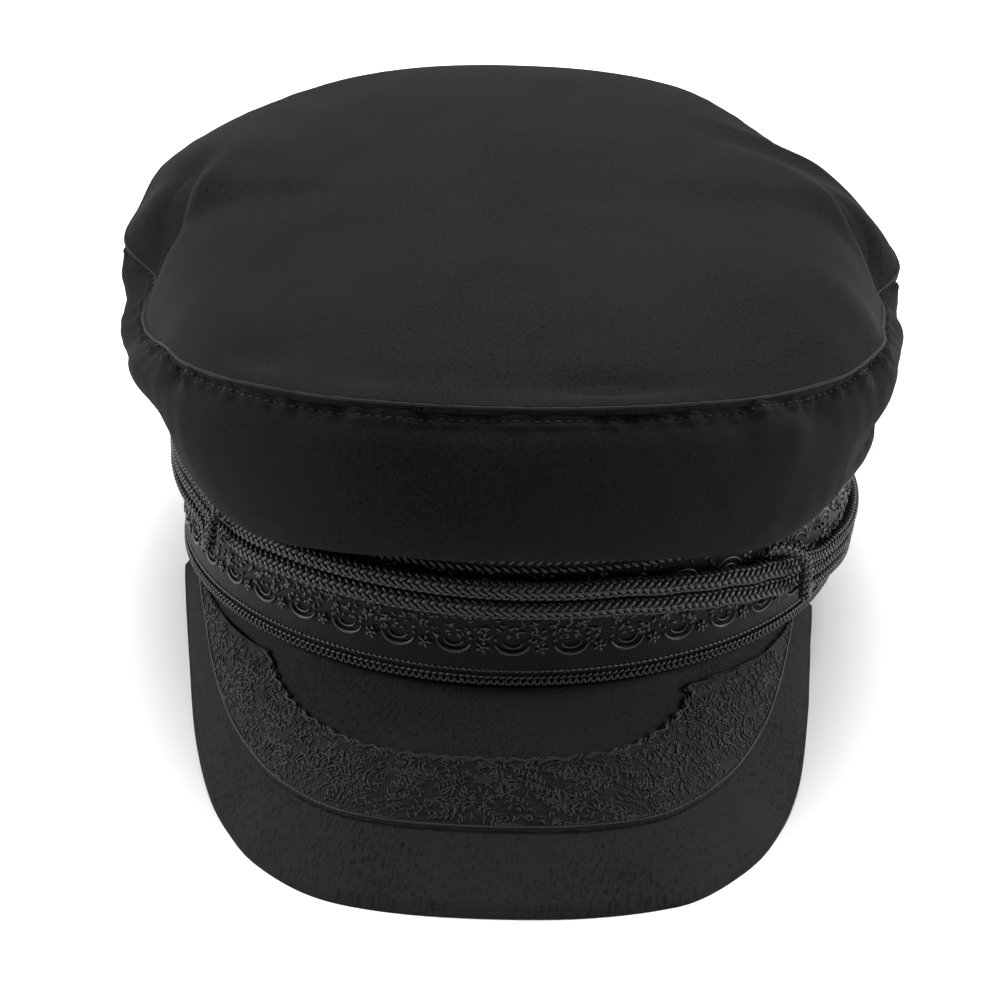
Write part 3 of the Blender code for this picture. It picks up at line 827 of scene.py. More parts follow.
def braided_cord_tree():
    """A braided cord: a core, and columns of slanted grains that lean to either side by turns."""
    inputs = (
        ("Grain", "NodeSocketObject"),
        ("Rows", "NodeSocketInt"),
        ("Columns", "NodeSocketInt"),
        ("Core", "NodeSocketFloat"),
        ("Slant", "NodeSocketFloat"),
        ("Pitch", "NodeSocketFloat"),
        ("Material", "NodeSocketMaterial"),
    )
    tree, start, end = new_tree("braided_cord", inputs)
    given = start.outputs
    thickness = named(tree, "size", "FLOAT")
    tangent = add_node(tree, "GeometryNodeInputTangent").outputs[0]
    line = stored(tree, even_line(tree, start, "Rows"), "along", tangent)
    normal = add_node(tree, "GeometryNodeInputNormal").outputs[0]
    skin = stored(tree, swept(tree, line, given["Columns"], 1.0, thickness), "outwards", normal)
    along = named(tree, "along")
    index = add_node(tree, "GeometryNodeInputIndex").outputs[0]
    parity = math_node(tree, "MODULO", index, 2.0)
    half_pitch = math_node(tree, "MULTIPLY", math_node(tree, "MULTIPLY", parity, given["Pitch"]), 0.5)
    points = shifted(tree, skin, along, half_pitch)
    side = math_node(tree, "MULTIPLY_ADD", parity, 2.0, -1.0)
    lean = add_node(tree, "ShaderNodeCombineXYZ", {"Z": math_node(tree, "MULTIPLY", side, given["Slant"])})
    lean_turn = add_node(tree, "FunctionNodeEulerToRotation", {0: lean.outputs[0]}).outputs[0]
    rotation = turned_by(tree, aligned(tree, named(tree, "outwards"), along), lean_turn)
    size = math_node(tree, "DIVIDE", thickness, PAIR_RADIUS - GRAIN_HEIGHT / 2)
    joined = add_node(tree, "GeometryNodeJoinGeometry")
    core = swept(tree, line, CORE_SIDES, given["Core"], thickness, caps=True)
    tree.links.new(core, joined.inputs[0])
    tree.links.new(placed(tree, given["Grain"], points, rotation, size), joined.inputs[0])
    end_tree(tree, joined.outputs[0], given["Material"], end)


def grow(name, guide, tree_name, values, material):
    """Run a node tree on a guide with named values, and keep the result as a plain mesh object."""
    tree = bpy.data.node_groups[tree_name]
    modifier = guide.modifiers.new(tree_name, "NODES")
    modifier.node_group = tree
    sockets = {item.name: item.identifier for item in tree.interface.items_tree if item.in_out == "INPUT"}
    for label, value in dict(values, Material=material).items():
        modifier[sockets[label]] = value
    graph = bpy.context.evaluated_depsgraph_get()
    mesh = bpy.data.meshes.new_from_object(guide.evaluated_get(graph))
    if not len(mesh.polygons):
        raise RuntimeError(f"{name} came out empty")
    mesh.name = name
    for attribute in [item.name for item in mesh.attributes if item.name in ("along", "outwards", "size")]:
        mesh.attributes.remove(mesh.attributes[attribute])
    mesh.materials.clear()
    mesh.materials.append(material)
    mesh.polygons.foreach_set("material_index", np.zeros(len(mesh.polygons), np.int32))
    mesh.shade_smooth()
    bpy.data.objects.remove(guide, do_unlink=True)
    return add_object(name, mesh)


def motif_object(mesh):
    """A motif that the node trees place; it is removed once they have run."""
    return bpy.data.objects.new(mesh.name, mesh)


def merge_objects(name, objects):
    """Join the grown rows of one trim into one object."""
    shape = bmesh.new()
    for piece in objects:
        shape.from_mesh(piece.data)
    joined = smooth_mesh(name, shape)
    joined.materials.append(objects[0].data.materials[0])
    for piece in objects:
        bpy.data.objects.remove(piece, do_unlink=True)
    return add_object(name, joined)


# ---- materials


def new_finish(name, roughness, sheen=0.0, sheen_roughness=0.5, specular=0.5):
    """A material with its constant values set on the shader, and the nodes to build on."""
    material = bpy.data.materials.new(name)
    material.use_nodes = True
    shader = material.node_tree.nodes["Principled BSDF"]
    shader.inputs["Roughness"].default_value = roughness
    shader.inputs["Sheen Weight"].default_value = sheen
    shader.inputs["Sheen Roughness"].default_value = sheen_roughness
    shader.inputs["Specular IOR Level"].default_value = specular
    return material, material.node_tree, shader


def mapped(tree, source, scale=(1, 1, 1), turn=0.0):
    """Coordinates turned about Z, then scaled: source is Object, or UV for the cloth's own layout."""
    if source == "UV":
        vector = add_node(tree, "ShaderNodeUVMap", uv_map="cloth").outputs[0]
    else:
        vector = add_node(tree, "ShaderNodeTexCoord").outputs["Object"]
    for change in ({"Rotation": (0, 0, turn)}, {"Scale": scale}):
        links = dict(change, Vector=vector)
        vector = add_node(tree, "ShaderNodeMapping", links, vector_type="POINT").outputs[0]
    return vector


def noise(tree, vector, scale, detail=2.0, roughness=0.5):
    links = {"Vector": vector, "Scale": scale, "Detail": detail, "Roughness": roughness}
    return add_node(tree, "ShaderNodeTexNoise", links).outputs[0]


def stripes(tree, vector, pitch, distortion=0.0):
    """Soft bands across X, one every pitch in metres."""
    links = {"Vector": vector, "Scale": math.pi / 10 / pitch, "Distortion": distortion}
    made = add_node(
        tree, "ShaderNodeTexWave", links, wave_type="BANDS", bands_direction="X", wave_profile="SIN"
    )
    return made.outputs[1]


def blended(tree, *parts):
    """The sum of values, each with its weight."""
    total = math_node(tree, "MULTIPLY", *parts[0])
    for value, weight in parts[1:]:
        total = math_node(tree, "MULTIPLY_ADD", value, weight, total)
    return total


def scaled_colour(colour, factor):
    return tuple(channel * factor for channel in colour)


def set_tone(tree, shader, factor, colour, shades, reach):
    """Colour the shader from one shade of a colour to another as the factor goes over its reach."""
    ramp = add_node(tree, "ShaderNodeValToRGB", {"Fac": factor})
    for element, shade, position in zip(ramp.color_ramp.elements, shades, reach):
        element.position = position
        element.color = (*scaled_colour(colour, shade), 1)
    tree.links.new(ramp.outputs[0], shader.inputs["Base Color"])


def set_bump(tree, shader, height, depth, strength):
    links = {"Height": height, "Distance": depth, "Strength": strength}
    tree.links.new(add_node(tree, "ShaderNodeBump", links).outputs[0], shader.inputs["Normal"])


def twill_finish(name, colour, pitch):
    """Washed cotton twill: fine slanted ribs of short floats, grainy yarn, and slow fading."""
    material, tree, shader = new_finish(name, 0.85, sheen=0.015, sheen_roughness=0.45, specular=0.035)
    ribs = stripes(tree, mapped(tree, "UV", turn=TWILL_LEAN), pitch)
    floats = noise(tree, mapped(tree, "UV", TWILL_FLOAT_SCALE, TWILL_LEAN), 1.0, 2.0, 0.6)
    grain = noise(tree, mapped(tree, "UV"), 1150, 2.0, 0.65)
    fading = noise(tree, mapped(tree, "Object"), 24, 3.0, 0.6)
    yarn = blended(tree, (floats, 0.61), (ribs, 0.05), (grain, 0.85))
    worn = math_node(tree, "MULTIPLY_ADD", fading, 0.45, yarn)
    set_tone(tree, shader, worn, colour, shades=(0.25, 1.80), reach=(0.62, 1.0))
    relief = math_node(tree, "MULTIPLY_ADD", ribs, 0.12, yarn)
    set_bump(tree, shader, relief, depth=0.00016, strength=0.7)
    return material


def thread_finish(name, colour, roughness, sheen=0.05, specular=0.2, pitch=0.00022):
    """Spun thread: fine fibres and slight differences from strand to strand."""
    material, tree, shader = new_finish(name, roughness, sheen, 0.35, specular)
    fibres = noise(tree, mapped(tree, "Object", (1, 1, 1.6)), 1 / (pitch * 4), 3.0, 0.6)
    strands = noise(tree, mapped(tree, "Object"), 420, 1.0)
    mixed = blended(tree, (strands, 0.5), (fibres, 0.5))
    set_tone(tree, shader, mixed, colour, shades=(0.55, 1.5), reach=(0.3, 0.72))
    set_bump(tree, shader, fibres, depth=0.00010, strength=0.7)
    return material


def satin_finish(name, colour):
    """The trim's ribbon: close upright ribs in a dull satin, a little uneven."""
    material, tree, shader = new_finish(name, 0.5, sheen=0.01, sheen_roughness=0.4, specular=0.08)
    ribs = stripes(tree, mapped(tree, "UV"), 0.00055, 0.6)
    rows = stripes(tree, mapped(tree, "UV", turn=math.pi / 2), 0.0009, 0.8)
    grain = noise(tree, mapped(tree, "Object"), 900, 2.0, 0.6)
    mixed = blended(tree, (ribs, 0.5), (rows, 0.3), (grain, 0.5))
    set_tone(tree, shader, mixed, colour, shades=(0.4, 1.4), reach=(0.2, 1.0))
    set_bump(tree, shader, mixed, depth=0.00015, strength=0.8)
    return material


def backdrop_finish(name, colour):
    material, tree, shader = new_finish(name, 0.9, specular=0.1)
    grain = noise(tree, mapped(tree, "Object"), 3.0)
    set_tone(tree, shader, grain, colour, shades=(0.985, 1.0), reach=(0.3, 0.7))
    return material


# ---- pieces

def ring_angles(count):
    return np.arange(count) * 360 / count


def side_relief(angle, share, level):
    """How far the side panel's outer face stands out from its plain shape."""
    relief = np.zeros_like(angle)
    for centre, spread, height, height_spread, depth in SIDE_PUCKERS:
        reach = PUCKER_STRENGTH * depth * angle_bell(angle, centre, spread)
        relief += reach * bell(share, height, height_spread)
    relief += uneven_cloth(level, SIDE_UNEVENNESS)
    return relief * eased(share / SIDE_PLAIN_SHARE)


def seam_relief(angle, drop):
    """The pressed double layer below the seam, drawn in at its stitches and gathered beside them."""
    layer = SEAM_LAYER * (1 - eased((drop - SEAM_LAYER_HEIGHT + SEAM_LAYER_STEP / 2) / SEAM_LAYER_STEP))
    gather = sum(depth * np.sin(np.radians(angle) * count + start) for depth, count, start in SEAM_GATHERS)
    groove = -STITCH_GROOVE * bell(drop, STITCH_DROP, 0.0005)
    welt = bell(drop, STITCH_DROP + 0.0012, 0.0013) + bell(drop, STITCH_DROP - 0.0012, 0.0008)
    tuck = -SEAM_TUCK * bell(drop, 0.0, SEAM_TUCK)
    return layer + groove + tuck + GATHER_STRENGTH * gather * welt


def side_rows():
    """Rows of the side panel's outer face, packed closer near the seam."""
    angle = ring_angles(SIDE_COLUMNS)
    shares = 1 - (1 - np.linspace(0, 1, SIDE_ROWS)) ** SIDE_PACKING
    plain = np.stack([side_point(angle, share) for share in shares])
    normals = grid_normals(plain, closed_round=True)
    seam = plain[-1]
    rows = []
    for row, share in enumerate(shares):
        drop = np.linalg.norm(seam - plain[row], axis=-1)
        relief = side_relief(angle, share, plain[row]) + seam_relief(angle, drop)
        rows.append(plain[row] + normals[row] * relief[:, None])
    return np.array(rows), plain, normals


def make_crown_side(settings):
    """The crown's side panel, from the band up to the seam."""
    rows, plain, normals = side_rows()
    thickness = settings.cloth_thickness
    inner = [
        plain[row] - normals[row] * thickness for row in range(SIDE_ROWS - 1, -1, -SIDE_COARSE_STEP)
    ]
    lip = rows[0] - normals[0] * thickness * 0.5
    shell = np.concatenate([rows, inner, lip[None]])
    uv = cloth_layout(plain[SIDE_ROWS // 2], row_heights(shell))
    finish = twill_finish("black_twill_side", settings.cloth_colour, settings.twill_pitch)
    piece = grid_object("crown_side_cloth", shell, finish, closed_round=True, closed_along=True, uv=uv)
    finish_piece(piece, ["crown_side"])


def top_relief(level):
    """How far the top panel's outer face stands off its plain shape."""
    x, y = level[..., 0], level[..., 1]
    relief = uneven_cloth(level, TOP_UNEVENNESS)
    for centre_x, centre_y, half_x, half_y, turn, depth in TOP_DENTS:
        cos, sin = math.cos(math.radians(turn)), math.sin(math.radians(turn))
        across = (x - centre_x) * cos + (y - centre_y) * sin
        along = -(x - centre_x) * sin + (y - centre_y) * cos
        relief = relief + depth * bell(across, 0, half_x) * bell(along, 0, half_y)
    return relief


def make_crown_top(settings):
    """The crown's puffed top panel, rolled down at its seam, and the seam's edge, painted lighter as a
    highlight.
    """
    angle = ring_angles(SIDE_COLUMNS)
    flat = np.linspace(TOP_POLE_SHARE, TOP_FLAT_END, TOP_ROWS - TOP_FOLD_ROWS)
    fold = np.linspace(TOP_FLAT_END, 1, TOP_FOLD_ROWS + 1)[1:]
    shares = np.concatenate([flat, fold])
    plain = np.stack([top_point(angle, share) for share in shares])
    normals = facing_up(grid_normals(plain, closed_round=True))
    fade = 1 - (1 - TOP_SEAM_RELIEF) * eased((shares - TOP_FLAT_END) / (1 - TOP_FLAT_END))
    relief = top_relief(plain) * fade[:, None]
    outer = plain + normals * (settings.cloth_thickness + relief)[..., None]
    seam = outer[-1]
    outwards = unit(side_point(angle, 1.0) * LEVEL)
    roll = [
        seam + outwards * SEAM_ROLL * math.sin(turn) - UP * SEAM_ROLL_DROP * (1 - math.cos(turn))
        for turn in np.radians([30, 60, 90, 120, 150, 175])
    ]
    tucked = side_point(angle, 1.0) - outwards * SEAM_TUCK_IN
    inner = [plain[row] + normals[row] * TOP_LINING_GAP for row in range(TOP_ROWS - 1, -1, -TOP_COARSE_STEP)]
    shell = np.concatenate([outer, roll, tucked[None], inner])
    poles = (inner[-1].mean(axis=0), outer[0].mean(axis=0))
    finish = twill_finish("black_twill_top", settings.cloth_colour, settings.twill_pitch)
    piece = grid_object("crown_top_cloth", shell[::-1], finish, closed_round=True, poles=poles, uv="flat")
    finish_piece(piece, ["crown_top"])
    make_seam_edge(settings, seam + outwards * SEAM_ROLL * 0.8 - UP * SEAM_ROLL, outwards)


def make_seam_edge(settings, middle, outwards):
    """The fold of cloth that stands along the seam, painted twice as light as the cloth as a highlight along
    its ridge.
    """
    radius = SEAM_EDGE_RADIUS * (1 + 0.25 * unevenness(middle, 0.007, 41))[:, None]
    rows = [
        middle + (outwards * math.cos(turn) + UP * math.sin(turn)) * radius
        for turn in np.arange(6) * math.pi / 3
    ]
    # Painted highlight: the seam's edge gets twice the cloth's colour, standing for light caught on its
    # ridge.
    finish = thread_finish("worn_seam_cloth", scaled_colour(settings.cloth_colour, 2.0), roughness=0.8)
    piece = grid_object("seam_edge", rows, finish, closed_round=True, closed_along=True)
    finish_piece(piece, [])


def make_seam_stitches(settings):
    """Topstitching on the side panel, just below the seam of the top panel."""
    rows, plain, normals = side_rows()
    drops = np.linalg.norm(plain - plain[-1], axis=-1)
    nearest = (np.abs(drops - STITCH_DROP).argmin(axis=0), np.arange(SIDE_COLUMNS))
    points = rows[nearest] + normals[nearest] * STITCH_LIFT
    guide = guide_object("seam_line", points, normals[nearest])
    length = settings.stitch_length
    count = round(travelled(points, closed=True)[-1] / (length * STITCH_SPACING))
    motif = motif_object(grain_mesh("stitch", length, STITCH_WIDTH, STITCH_HEIGHT))
    finish = thread_finish("black_seam_thread", scaled_colour(settings.cloth_colour, 1.6), roughness=0.7)
    piece = grow("seam_stitches", guide, "motif_row", {"Motif": motif, "Count": count, "Start": 0.0}, finish)
    bpy.data.objects.remove(motif)
    finish_piece(piece, [])


def make_band(settings):
    """The stiff band round the head."""
    angle = ring_angles(SIDE_COLUMNS)
    low = around(angle, *BAND_BOTTOM)
    thickness = settings.cloth_thickness
    heights = np.linspace(0, 1, BAND_ROWS)
    outer = [band_point(angle, low + (BAND_TOP - low) * share) for share in heights]
    inner = [band_point(angle, low + (BAND_TOP - low) * share, -thickness) for share in heights[::-1]]
    rim = band_point(angle, low - GAP, -thickness / 2)
    shell = keep_above_surface(np.concatenate([outer, inner, rim[None]]))
    uv = cloth_layout(shell[0], row_heights(shell))
    finish = twill_finish("black_twill_band", settings.cloth_colour, settings.twill_pitch)
    piece = grid_object("head_band_cloth", shell, finish, closed_round=True, closed_along=True, uv=uv)
    finish_piece(piece, ["head_band"])


def keep_above_surface(points):
    """Press flat what would reach below the surface that the cap rests on."""
    placed = to_rest(points)
    placed[..., 2] = np.maximum(placed[..., 2], 0.0)
    back = np.array(REST.inverted())
    return placed @ back[:3, :3].T + back[:3, 3]


def make_peak(settings):
    """The stiff peak: its upper face with a welt along its edge, its rounded edge, and its lower face."""
    along = np.linspace(0, 1, PEAK_COLUMNS)
    outs = np.linspace(0, 1, PEAK_ROWS) ** PEAK_PACKING
    upper = np.stack([peak_point(along, out) for out in outs])
    normals = facing_up(grid_normals(upper, closed_round=False))
    welt = PEAK_WELT * bell(outs, PEAK_RIM_SHARE, 0.012)
    rounding = -PEAK_ROUNDING * np.clip((outs - PEAK_RIM_SHARE) / (1 - PEAK_RIM_SHARE), 0, 1) ** 2
    relief = uneven_cloth(upper, PEAK_UNEVENNESS) + (welt + rounding)[:, None]
    upper = upper + normals * relief[..., None]
    away = unit((upper[-1] - upper[-6]) * LEVEL)
    half = PEAK_THICKNESS / 2
    edge = [
        upper[-1] + away * PEAK_EDGE_ROLL * math.sin(turn) - UP * (half * (1 - math.cos(turn)) * 0.9)
        for turn in np.radians([35, 65, 90, 115, 145])
    ]
    lower = [peak_point(along, out) - UP * PEAK_THICKNESS for out in np.linspace(1, 0, PEAK_COARSE_ROWS)]
    lower[0] += UP * PEAK_EDGE_ROLL
    shell = keep_above_surface(np.concatenate([upper, edge, lower]))
    finish = twill_finish("black_twill_peak", settings.peak_colour, settings.twill_pitch)
    piece = grid_object(
        "peak_cloth", shell, finish, closed_round=False, closed_along=True, caps=True, uv="flat"
    )
    finish_piece(piece, ["peak"])


def trim_line(height, lift):
    """A guide line round the trim's face at a height above the rim, which way is out, and its length."""
    angle = ring_angles(TRIM_LINE_POINTS)
    points = band_point(angle, height, GAP + TRIM_FACE + lift)
    return points, band_outwards(angle), travelled(points, closed=True)[-1]


def trim_row(name, height, lift, pitch, motif, finish, start=0.0, turn=0.0):
    """One row of a motif round the trim."""
    points, outwards, length = trim_line(height, lift)
    guide = guide_object(name + "_line", points, outwards)
    values = {"Motif": motif, "Count": round(length / pitch), "Start": start, "Turn": (0.0, 0.0, turn)}
    return grow(name, guide, "motif_row", values, finish)


def arc_points(radius_x, radius_y, first, last, count, up=0.0):
    turns = np.radians(np.linspace(first, last, count))
    return [(radius_x * math.cos(turn), up + radius_y * math.sin(turn), 0.0) for turn in turns]


def crescent_mesh():
    """Two nested crescents, open above, with small buds between their tips."""
    outer = arc_points(0.0042, 0.0031, 190, 350, 13)
    inner = arc_points(0.0024, 0.0017, 185, 355, 9, up=0.0002)
    outer_radii = [0.00018 + 0.00030 * math.sin(math.pi * index / 12) for index in range(13)]
    inner_radii = [0.00016 + 0.00020 * math.sin(math.pi * index / 8) for index in range(9)]
    parts = [
        (tube_mesh("outer", outer, outer_radii), Matrix.Identity(4)),
        (tube_mesh("inner", inner, inner_radii, 4), Matrix.Identity(4)),
    ]
    bud = grain_mesh("bud", *BUD_BEAD)
    for x, y in ((-0.0040, 0.0006), (0.0040, 0.0006), (-0.0010, 0.0012), (0.0011, 0.0013)):
        parts.append((bud, Matrix.Translation((x, y, 0.0))))
    return join_meshes("crescent", parts)


def floret_mesh():
    """A small floret of six beads of thread."""
    bead = grain_mesh("bead", *FLORET_BEAD)
    parts = [(bead, Matrix.Translation((0, 0, 0.0001)))]
    for petal in range(5):
        turn = Matrix.Rotation(2 * math.pi * petal / 5, 4, "Z")
        parts.append((bead, turn @ Matrix.Translation((FLORET_RADIUS, 0, 0))))
    return join_meshes("floret", parts)


def make_trim(settings):
    """The lace trim: its ribbon, and the rows of thread worked on it."""
    angle = ring_angles(SIDE_COLUMNS)
    heights = np.linspace(TRIM_LOW, TRIM_HIGH, TRIM_ROWS)
    ribs = TRIM_RIB * np.sin((heights - TRIM_LOW) * 2 * math.pi / TRIM_RIB_PITCH)
    outer = [band_point(angle, height, GAP + TRIM_FACE + rib) for height, rib in zip(heights, ribs)]
    inner = [band_point(angle, height, GAP) for height in (TRIM_HIGH, TRIM_LOW)]
    shell = np.concatenate([outer, inner])
    uv = cloth_layout(shell[0], np.concatenate([heights, [TRIM_HIGH + 0.001, TRIM_HIGH + 0.030]]))
    satin = satin_finish("black_satin", scaled_colour(settings.lace_colour, 0.30))
    ribbon = grid_object("trim_ribbon", shell, satin, closed_round=True, closed_along=True, uv=uv)
    finish_piece(ribbon, ["lace_trim"])
    make_trim_threads(settings)


def make_trim_threads(settings):
    """The rows of thread worked on the ribbon, and its loose filling, as one piece."""
    thread = thread_finish("black_lace_thread", settings.lace_colour, roughness=0.40, specular=0.45)
    picot_arc = arc_points(0.0007, 0.0011, 175, 365, 7)
    meshes = (
        tube_mesh("picot", picot_arc, [PICOT_RADIUS] * 7, 4), grain_mesh("knot", *KNOT_BEAD),
        crescent_mesh(), floret_mesh(), grain_mesh("bead", *FILLING_BEAD),
        grain_mesh("chain_link", *CHAIN_BEAD),
    )
    motifs = [motif_object(mesh) for mesh in meshes]
    picot, knot, crescent, floret, bead, chain = motifs
    low, high, pitch = TRIM_LOW, TRIM_HIGH, settings.crescent_pitch
    # Name, height above the rim, lift off the ribbon, pitch, motif; then its start and turn.
    rows = [
        trim_row("picots", low + 0.0011, 0.0004, 0.0017, picot, thread),
        trim_row("picot_line", low + 0.0018, 0.0004, 0.0016, knot, thread, turn=0.4),
        trim_row("woven_line", low + 0.0034, 0.0001, 0.0015, knot, thread, turn=-0.2),
        trim_row("crescents", low + 0.0113, 0.0002, pitch, crescent, thread),
        trim_row("florets", low + 0.0098, 0.0002, pitch, floret, thread, start=pitch / 2),
        trim_row("upper_chain", high - 0.0016, 0.0005, 0.0022, chain, thread, turn=0.7),
        trim_row("lower_chain", high - 0.0038, 0.0003, 0.0022, chain, thread, start=0.0011, turn=-0.7),
        trim_row("top_crescents", high - 0.0110, 0.0002, pitch, crescent, thread, turn=math.pi),
        trim_filling(pitch, bead, thread),
    ]
    merged = merge_objects("trim_threads", rows)
    for motif in motifs:
        bpy.data.objects.remove(motif)
    finish_piece(merged, [])


def trim_filling(pitch, bead, thread):
    """The loose worked filling above the crescents: a posy over each one, and a spray between them."""
    dice = np.random.default_rng(5)
    _, _, length = trim_line(TRIM_LOW, 0.0)
    count = round(length / pitch)
    step = 360 / count
    angles, heights = [], []
    for index in range(count):
        for beads, offset, half_width, middle, half_height in FILLING_CLUSTERS:
            reach = np.sqrt(dice.uniform(0.0, 1.0, beads))
            turn = dice.uniform(0, 2 * math.pi, beads)
            angles.append((index + offset) * step + reach * np.cos(turn) * half_width / pitch * step)
            heights.append(TRIM_LOW + middle + reach * np.sin(turn) * half_height)
    angle, height = np.concatenate(angles), np.concatenate(heights)
    points = band_point(angle, height, GAP + TRIM_FACE + 0.0001)
    outwards = band_outwards(angle)
    sideways = unit(np.cross(UP, outwards))
    lean = dice.uniform(0, math.pi, len(angle))[:, None]
    along = sideways * np.cos(lean) + UP * np.sin(lean)
    sizes = dice.uniform(0.75, 1.25, len(angle))
    guide = guide_object("filling_points", points, outwards, sizes=sizes, along=along)
    return grow("filling", guide, "motif_scatter", {"Motif": bead}, thread)


def pair_height(angle):
    """Height above the rim of the middle of the pair of cords."""
    angles, heights = np.array(PAIR_ROUTE).T
    angles = np.concatenate([[angles[-1] - 360], angles, [angles[0] + 360]])
    heights = np.concatenate([[heights[-1]], heights, [heights[0]]])
    wrapped = (np.asarray(angle, float) + 180) % 360 - 180
    index = np.clip(np.searchsorted(angles, wrapped, side="right") - 1, 0, len(angles) - 2)
    local = eased((wrapped - angles[index]) / (angles[index + 1] - angles[index]))
    return heights[index] + (heights[index + 1] - heights[index]) * local


def pair_radius(angle):
    start, end = PAIR_THIN_ANGLES
    away = np.abs((np.asarray(angle, float) + 180) % 360 - 180)
    return PAIR_RADIUS + (PAIR_SIDE_RADIUS - PAIR_RADIUS) * eased((away - start) / (end - start))


def braid(name, points, radii, closed, settings, finish, replaced):
    """A braided cord along points, with its grains no prouder than its radius."""
    pitch = settings.braid_pitch
    upwards = np.tile(UP, (len(points), 1))
    sizes = np.asarray(radii) - GRAIN_HEIGHT / 2
    guide = guide_object(name + "_line", points, upwards, closed=closed, sizes=sizes)
    grain = motif_object(grain_mesh(name + "_grain", pitch * GRAIN_OVERLAP, GRAIN_WIDTH, GRAIN_HEIGHT))
    values = {
        "Grain": grain, "Rows": round(travelled(points, closed)[-1] / pitch),
        "Columns": settings.braid_columns, "Core": CORE_SHARE, "Slant": settings.braid_slant, "Pitch": pitch,
    }
    piece = grow(name, guide, "braided_cord", values, finish)
    bpy.data.objects.remove(grain)
    finish_piece(piece, [replaced])


def make_cords(settings):
    """The pair of cords round the band, and the third cord that ties them."""
    finish = thread_finish("black_cord_thread", settings.cord_colour, roughness=0.42, specular=0.45)
    angle = ring_angles(360)
    radii = pair_radius(angle)
    for name, replaced, side in (("upper_cord", "cord_upper", 1), ("lower_cord", "cord_lower", -1)):
        height = pair_height(angle) + side * (radii + GAP / 2)
        points = band_point(angle, height, TRIM_FACE + 2 * GAP + radii)
        braid(name, points, radii, True, settings, finish, replaced)
    points = tie_points()
    braid("tie_cord", points, np.full(len(points), TIE_RADIUS), False, settings, finish, "cord_tie")


def beside_pair(angle, up, out):
    """Points at a height over the middle of the pair, and further out than its own middle."""
    lift = TRIM_FACE + 2 * GAP + pair_radius(angle)
    return band_point(angle, pair_height(angle) + up, lift + out)


def tie_points():
    """The third cord: hooked over the pair at each temple, and round the back below the pair."""
    right_angle, left_angle = KNOT_ANGLES
    back, up, out = np.array(KNOT_ROUTE).T
    right_end = beside_pair(right_angle - back, up, out)
    left_end = beside_pair(left_angle + back, up, out)
    places = np.linspace(0, len(KNOT_ROUTE) - 1, 40)
    behind = np.linspace(left_angle + back[-1], 360 + right_angle - back[-1], 240)[1:-1]
    rear = beside_pair(behind, TIE_BACK_UP, 0.0)
    return np.concatenate([spline_at(left_end, places), rear, spline_at(right_end, places)[::-1]])


def applique_outline(turn, reach):
    """A U-shaped outline on the peak, as shares along its root and out from it."""
    half_along, furthest_out = reach
    across = signed_power(-np.cos(turn), 2 / APPLIQUE_SQUARENESS)
    outwards = signed_power(np.sin(turn), 2 / APPLIQUE_SQUARENESS)
    return 0.5 + half_along * across, furthest_out * outwards


def applique_at(turn, outer_share):
    inner = np.stack(applique_outline(turn, APPLIQUE_INNER))
    outer = np.stack(applique_outline(turn, APPLIQUE_OUTER))
    along, out = inner + (outer - inner) * outer_share
    return peak_point(along, out)


def applique_turns():
    """Turns of the U-shaped outline at even steps along the middle of the applique."""
    turns = np.linspace(0.08, 0.92, 801) * math.pi
    distance = travelled(applique_at(turns, 0.5))
    return distance / distance[-1], turns


def applique_point(place, outer_share, lift):
    """Points of the applique: place runs along the U, outer_share from its inner to its outer edge."""
    shares, turns = APPLIQUE_TURNS
    point = applique_at(np.interp(place, shares, turns), outer_share)
    point[..., 2] += lift
    return point


APPLIQUE_TURNS = applique_turns()


def make_applique(settings):
    """The embroidered applique on the peak: its net ground with a ragged inner edge, and its stitches."""
    place = np.linspace(0, 1, NET_COLUMNS)
    ragged = sum(
        depth * np.sin(place * 2 * math.pi * count + start) for depth, count, start in APPLIQUE_SCALLOPS
    )
    upper = np.array([
        applique_point(place, share + ragged * (1 - share) ** 2, APPLIQUE_LIFT)
        for share in np.linspace(0, 1, NET_ROWS)
    ])
    upper[..., 2] += uneven_cloth(upper, NET_UNEVENNESS)
    lower = upper[::-NET_COARSE_STEP] - UP * APPLIQUE_THICKNESS
    shell = np.concatenate([upper, lower])
    net = satin_finish("black_net", scaled_colour(settings.embroidery_colour, 0.9))
    base = grid_object(
        "applique_net", shell, net, closed_round=False, closed_along=True, caps=True, uv="flat"
    )
    finish_piece(base, ["peak_applique"])
    make_embroidery(settings)


def embroidery_stitches():
    """The place, share of the width, turn and size of every stitch of the applique."""
    dice = np.random.default_rng(7)
    stitches = []
    for index in range(MOTIFS):
        middle = (index + 0.5) / MOTIFS
        stitches += flower_stitches(middle, 0.50 + 0.14 * (-1) ** index, dice)
        for share in LEAF_SHARES:
            stitches += leaf_stitches(middle + dice.uniform(0.25, 0.75) / MOTIFS, share, dice)
    for share in np.linspace(0.01, 0.99, OUTER_EDGE_STITCHES):
        stitches.append((share, 0.98, 0.0, 1.0))
    for share in np.linspace(0.01, 0.99, INNER_EDGE_STITCHES):
        stitches.append((share, 0.03 + 0.02 * math.sin(share * 195), 0.6 * math.sin(share * 100), 1.0))
    for _ in range(LOOSE_STITCHES):
        stitches.append(tuple(dice.uniform((0.01, 0.06, 0.0, 0.6), (0.99, 0.95, math.pi, 0.95))))
    return np.array(stitches).T


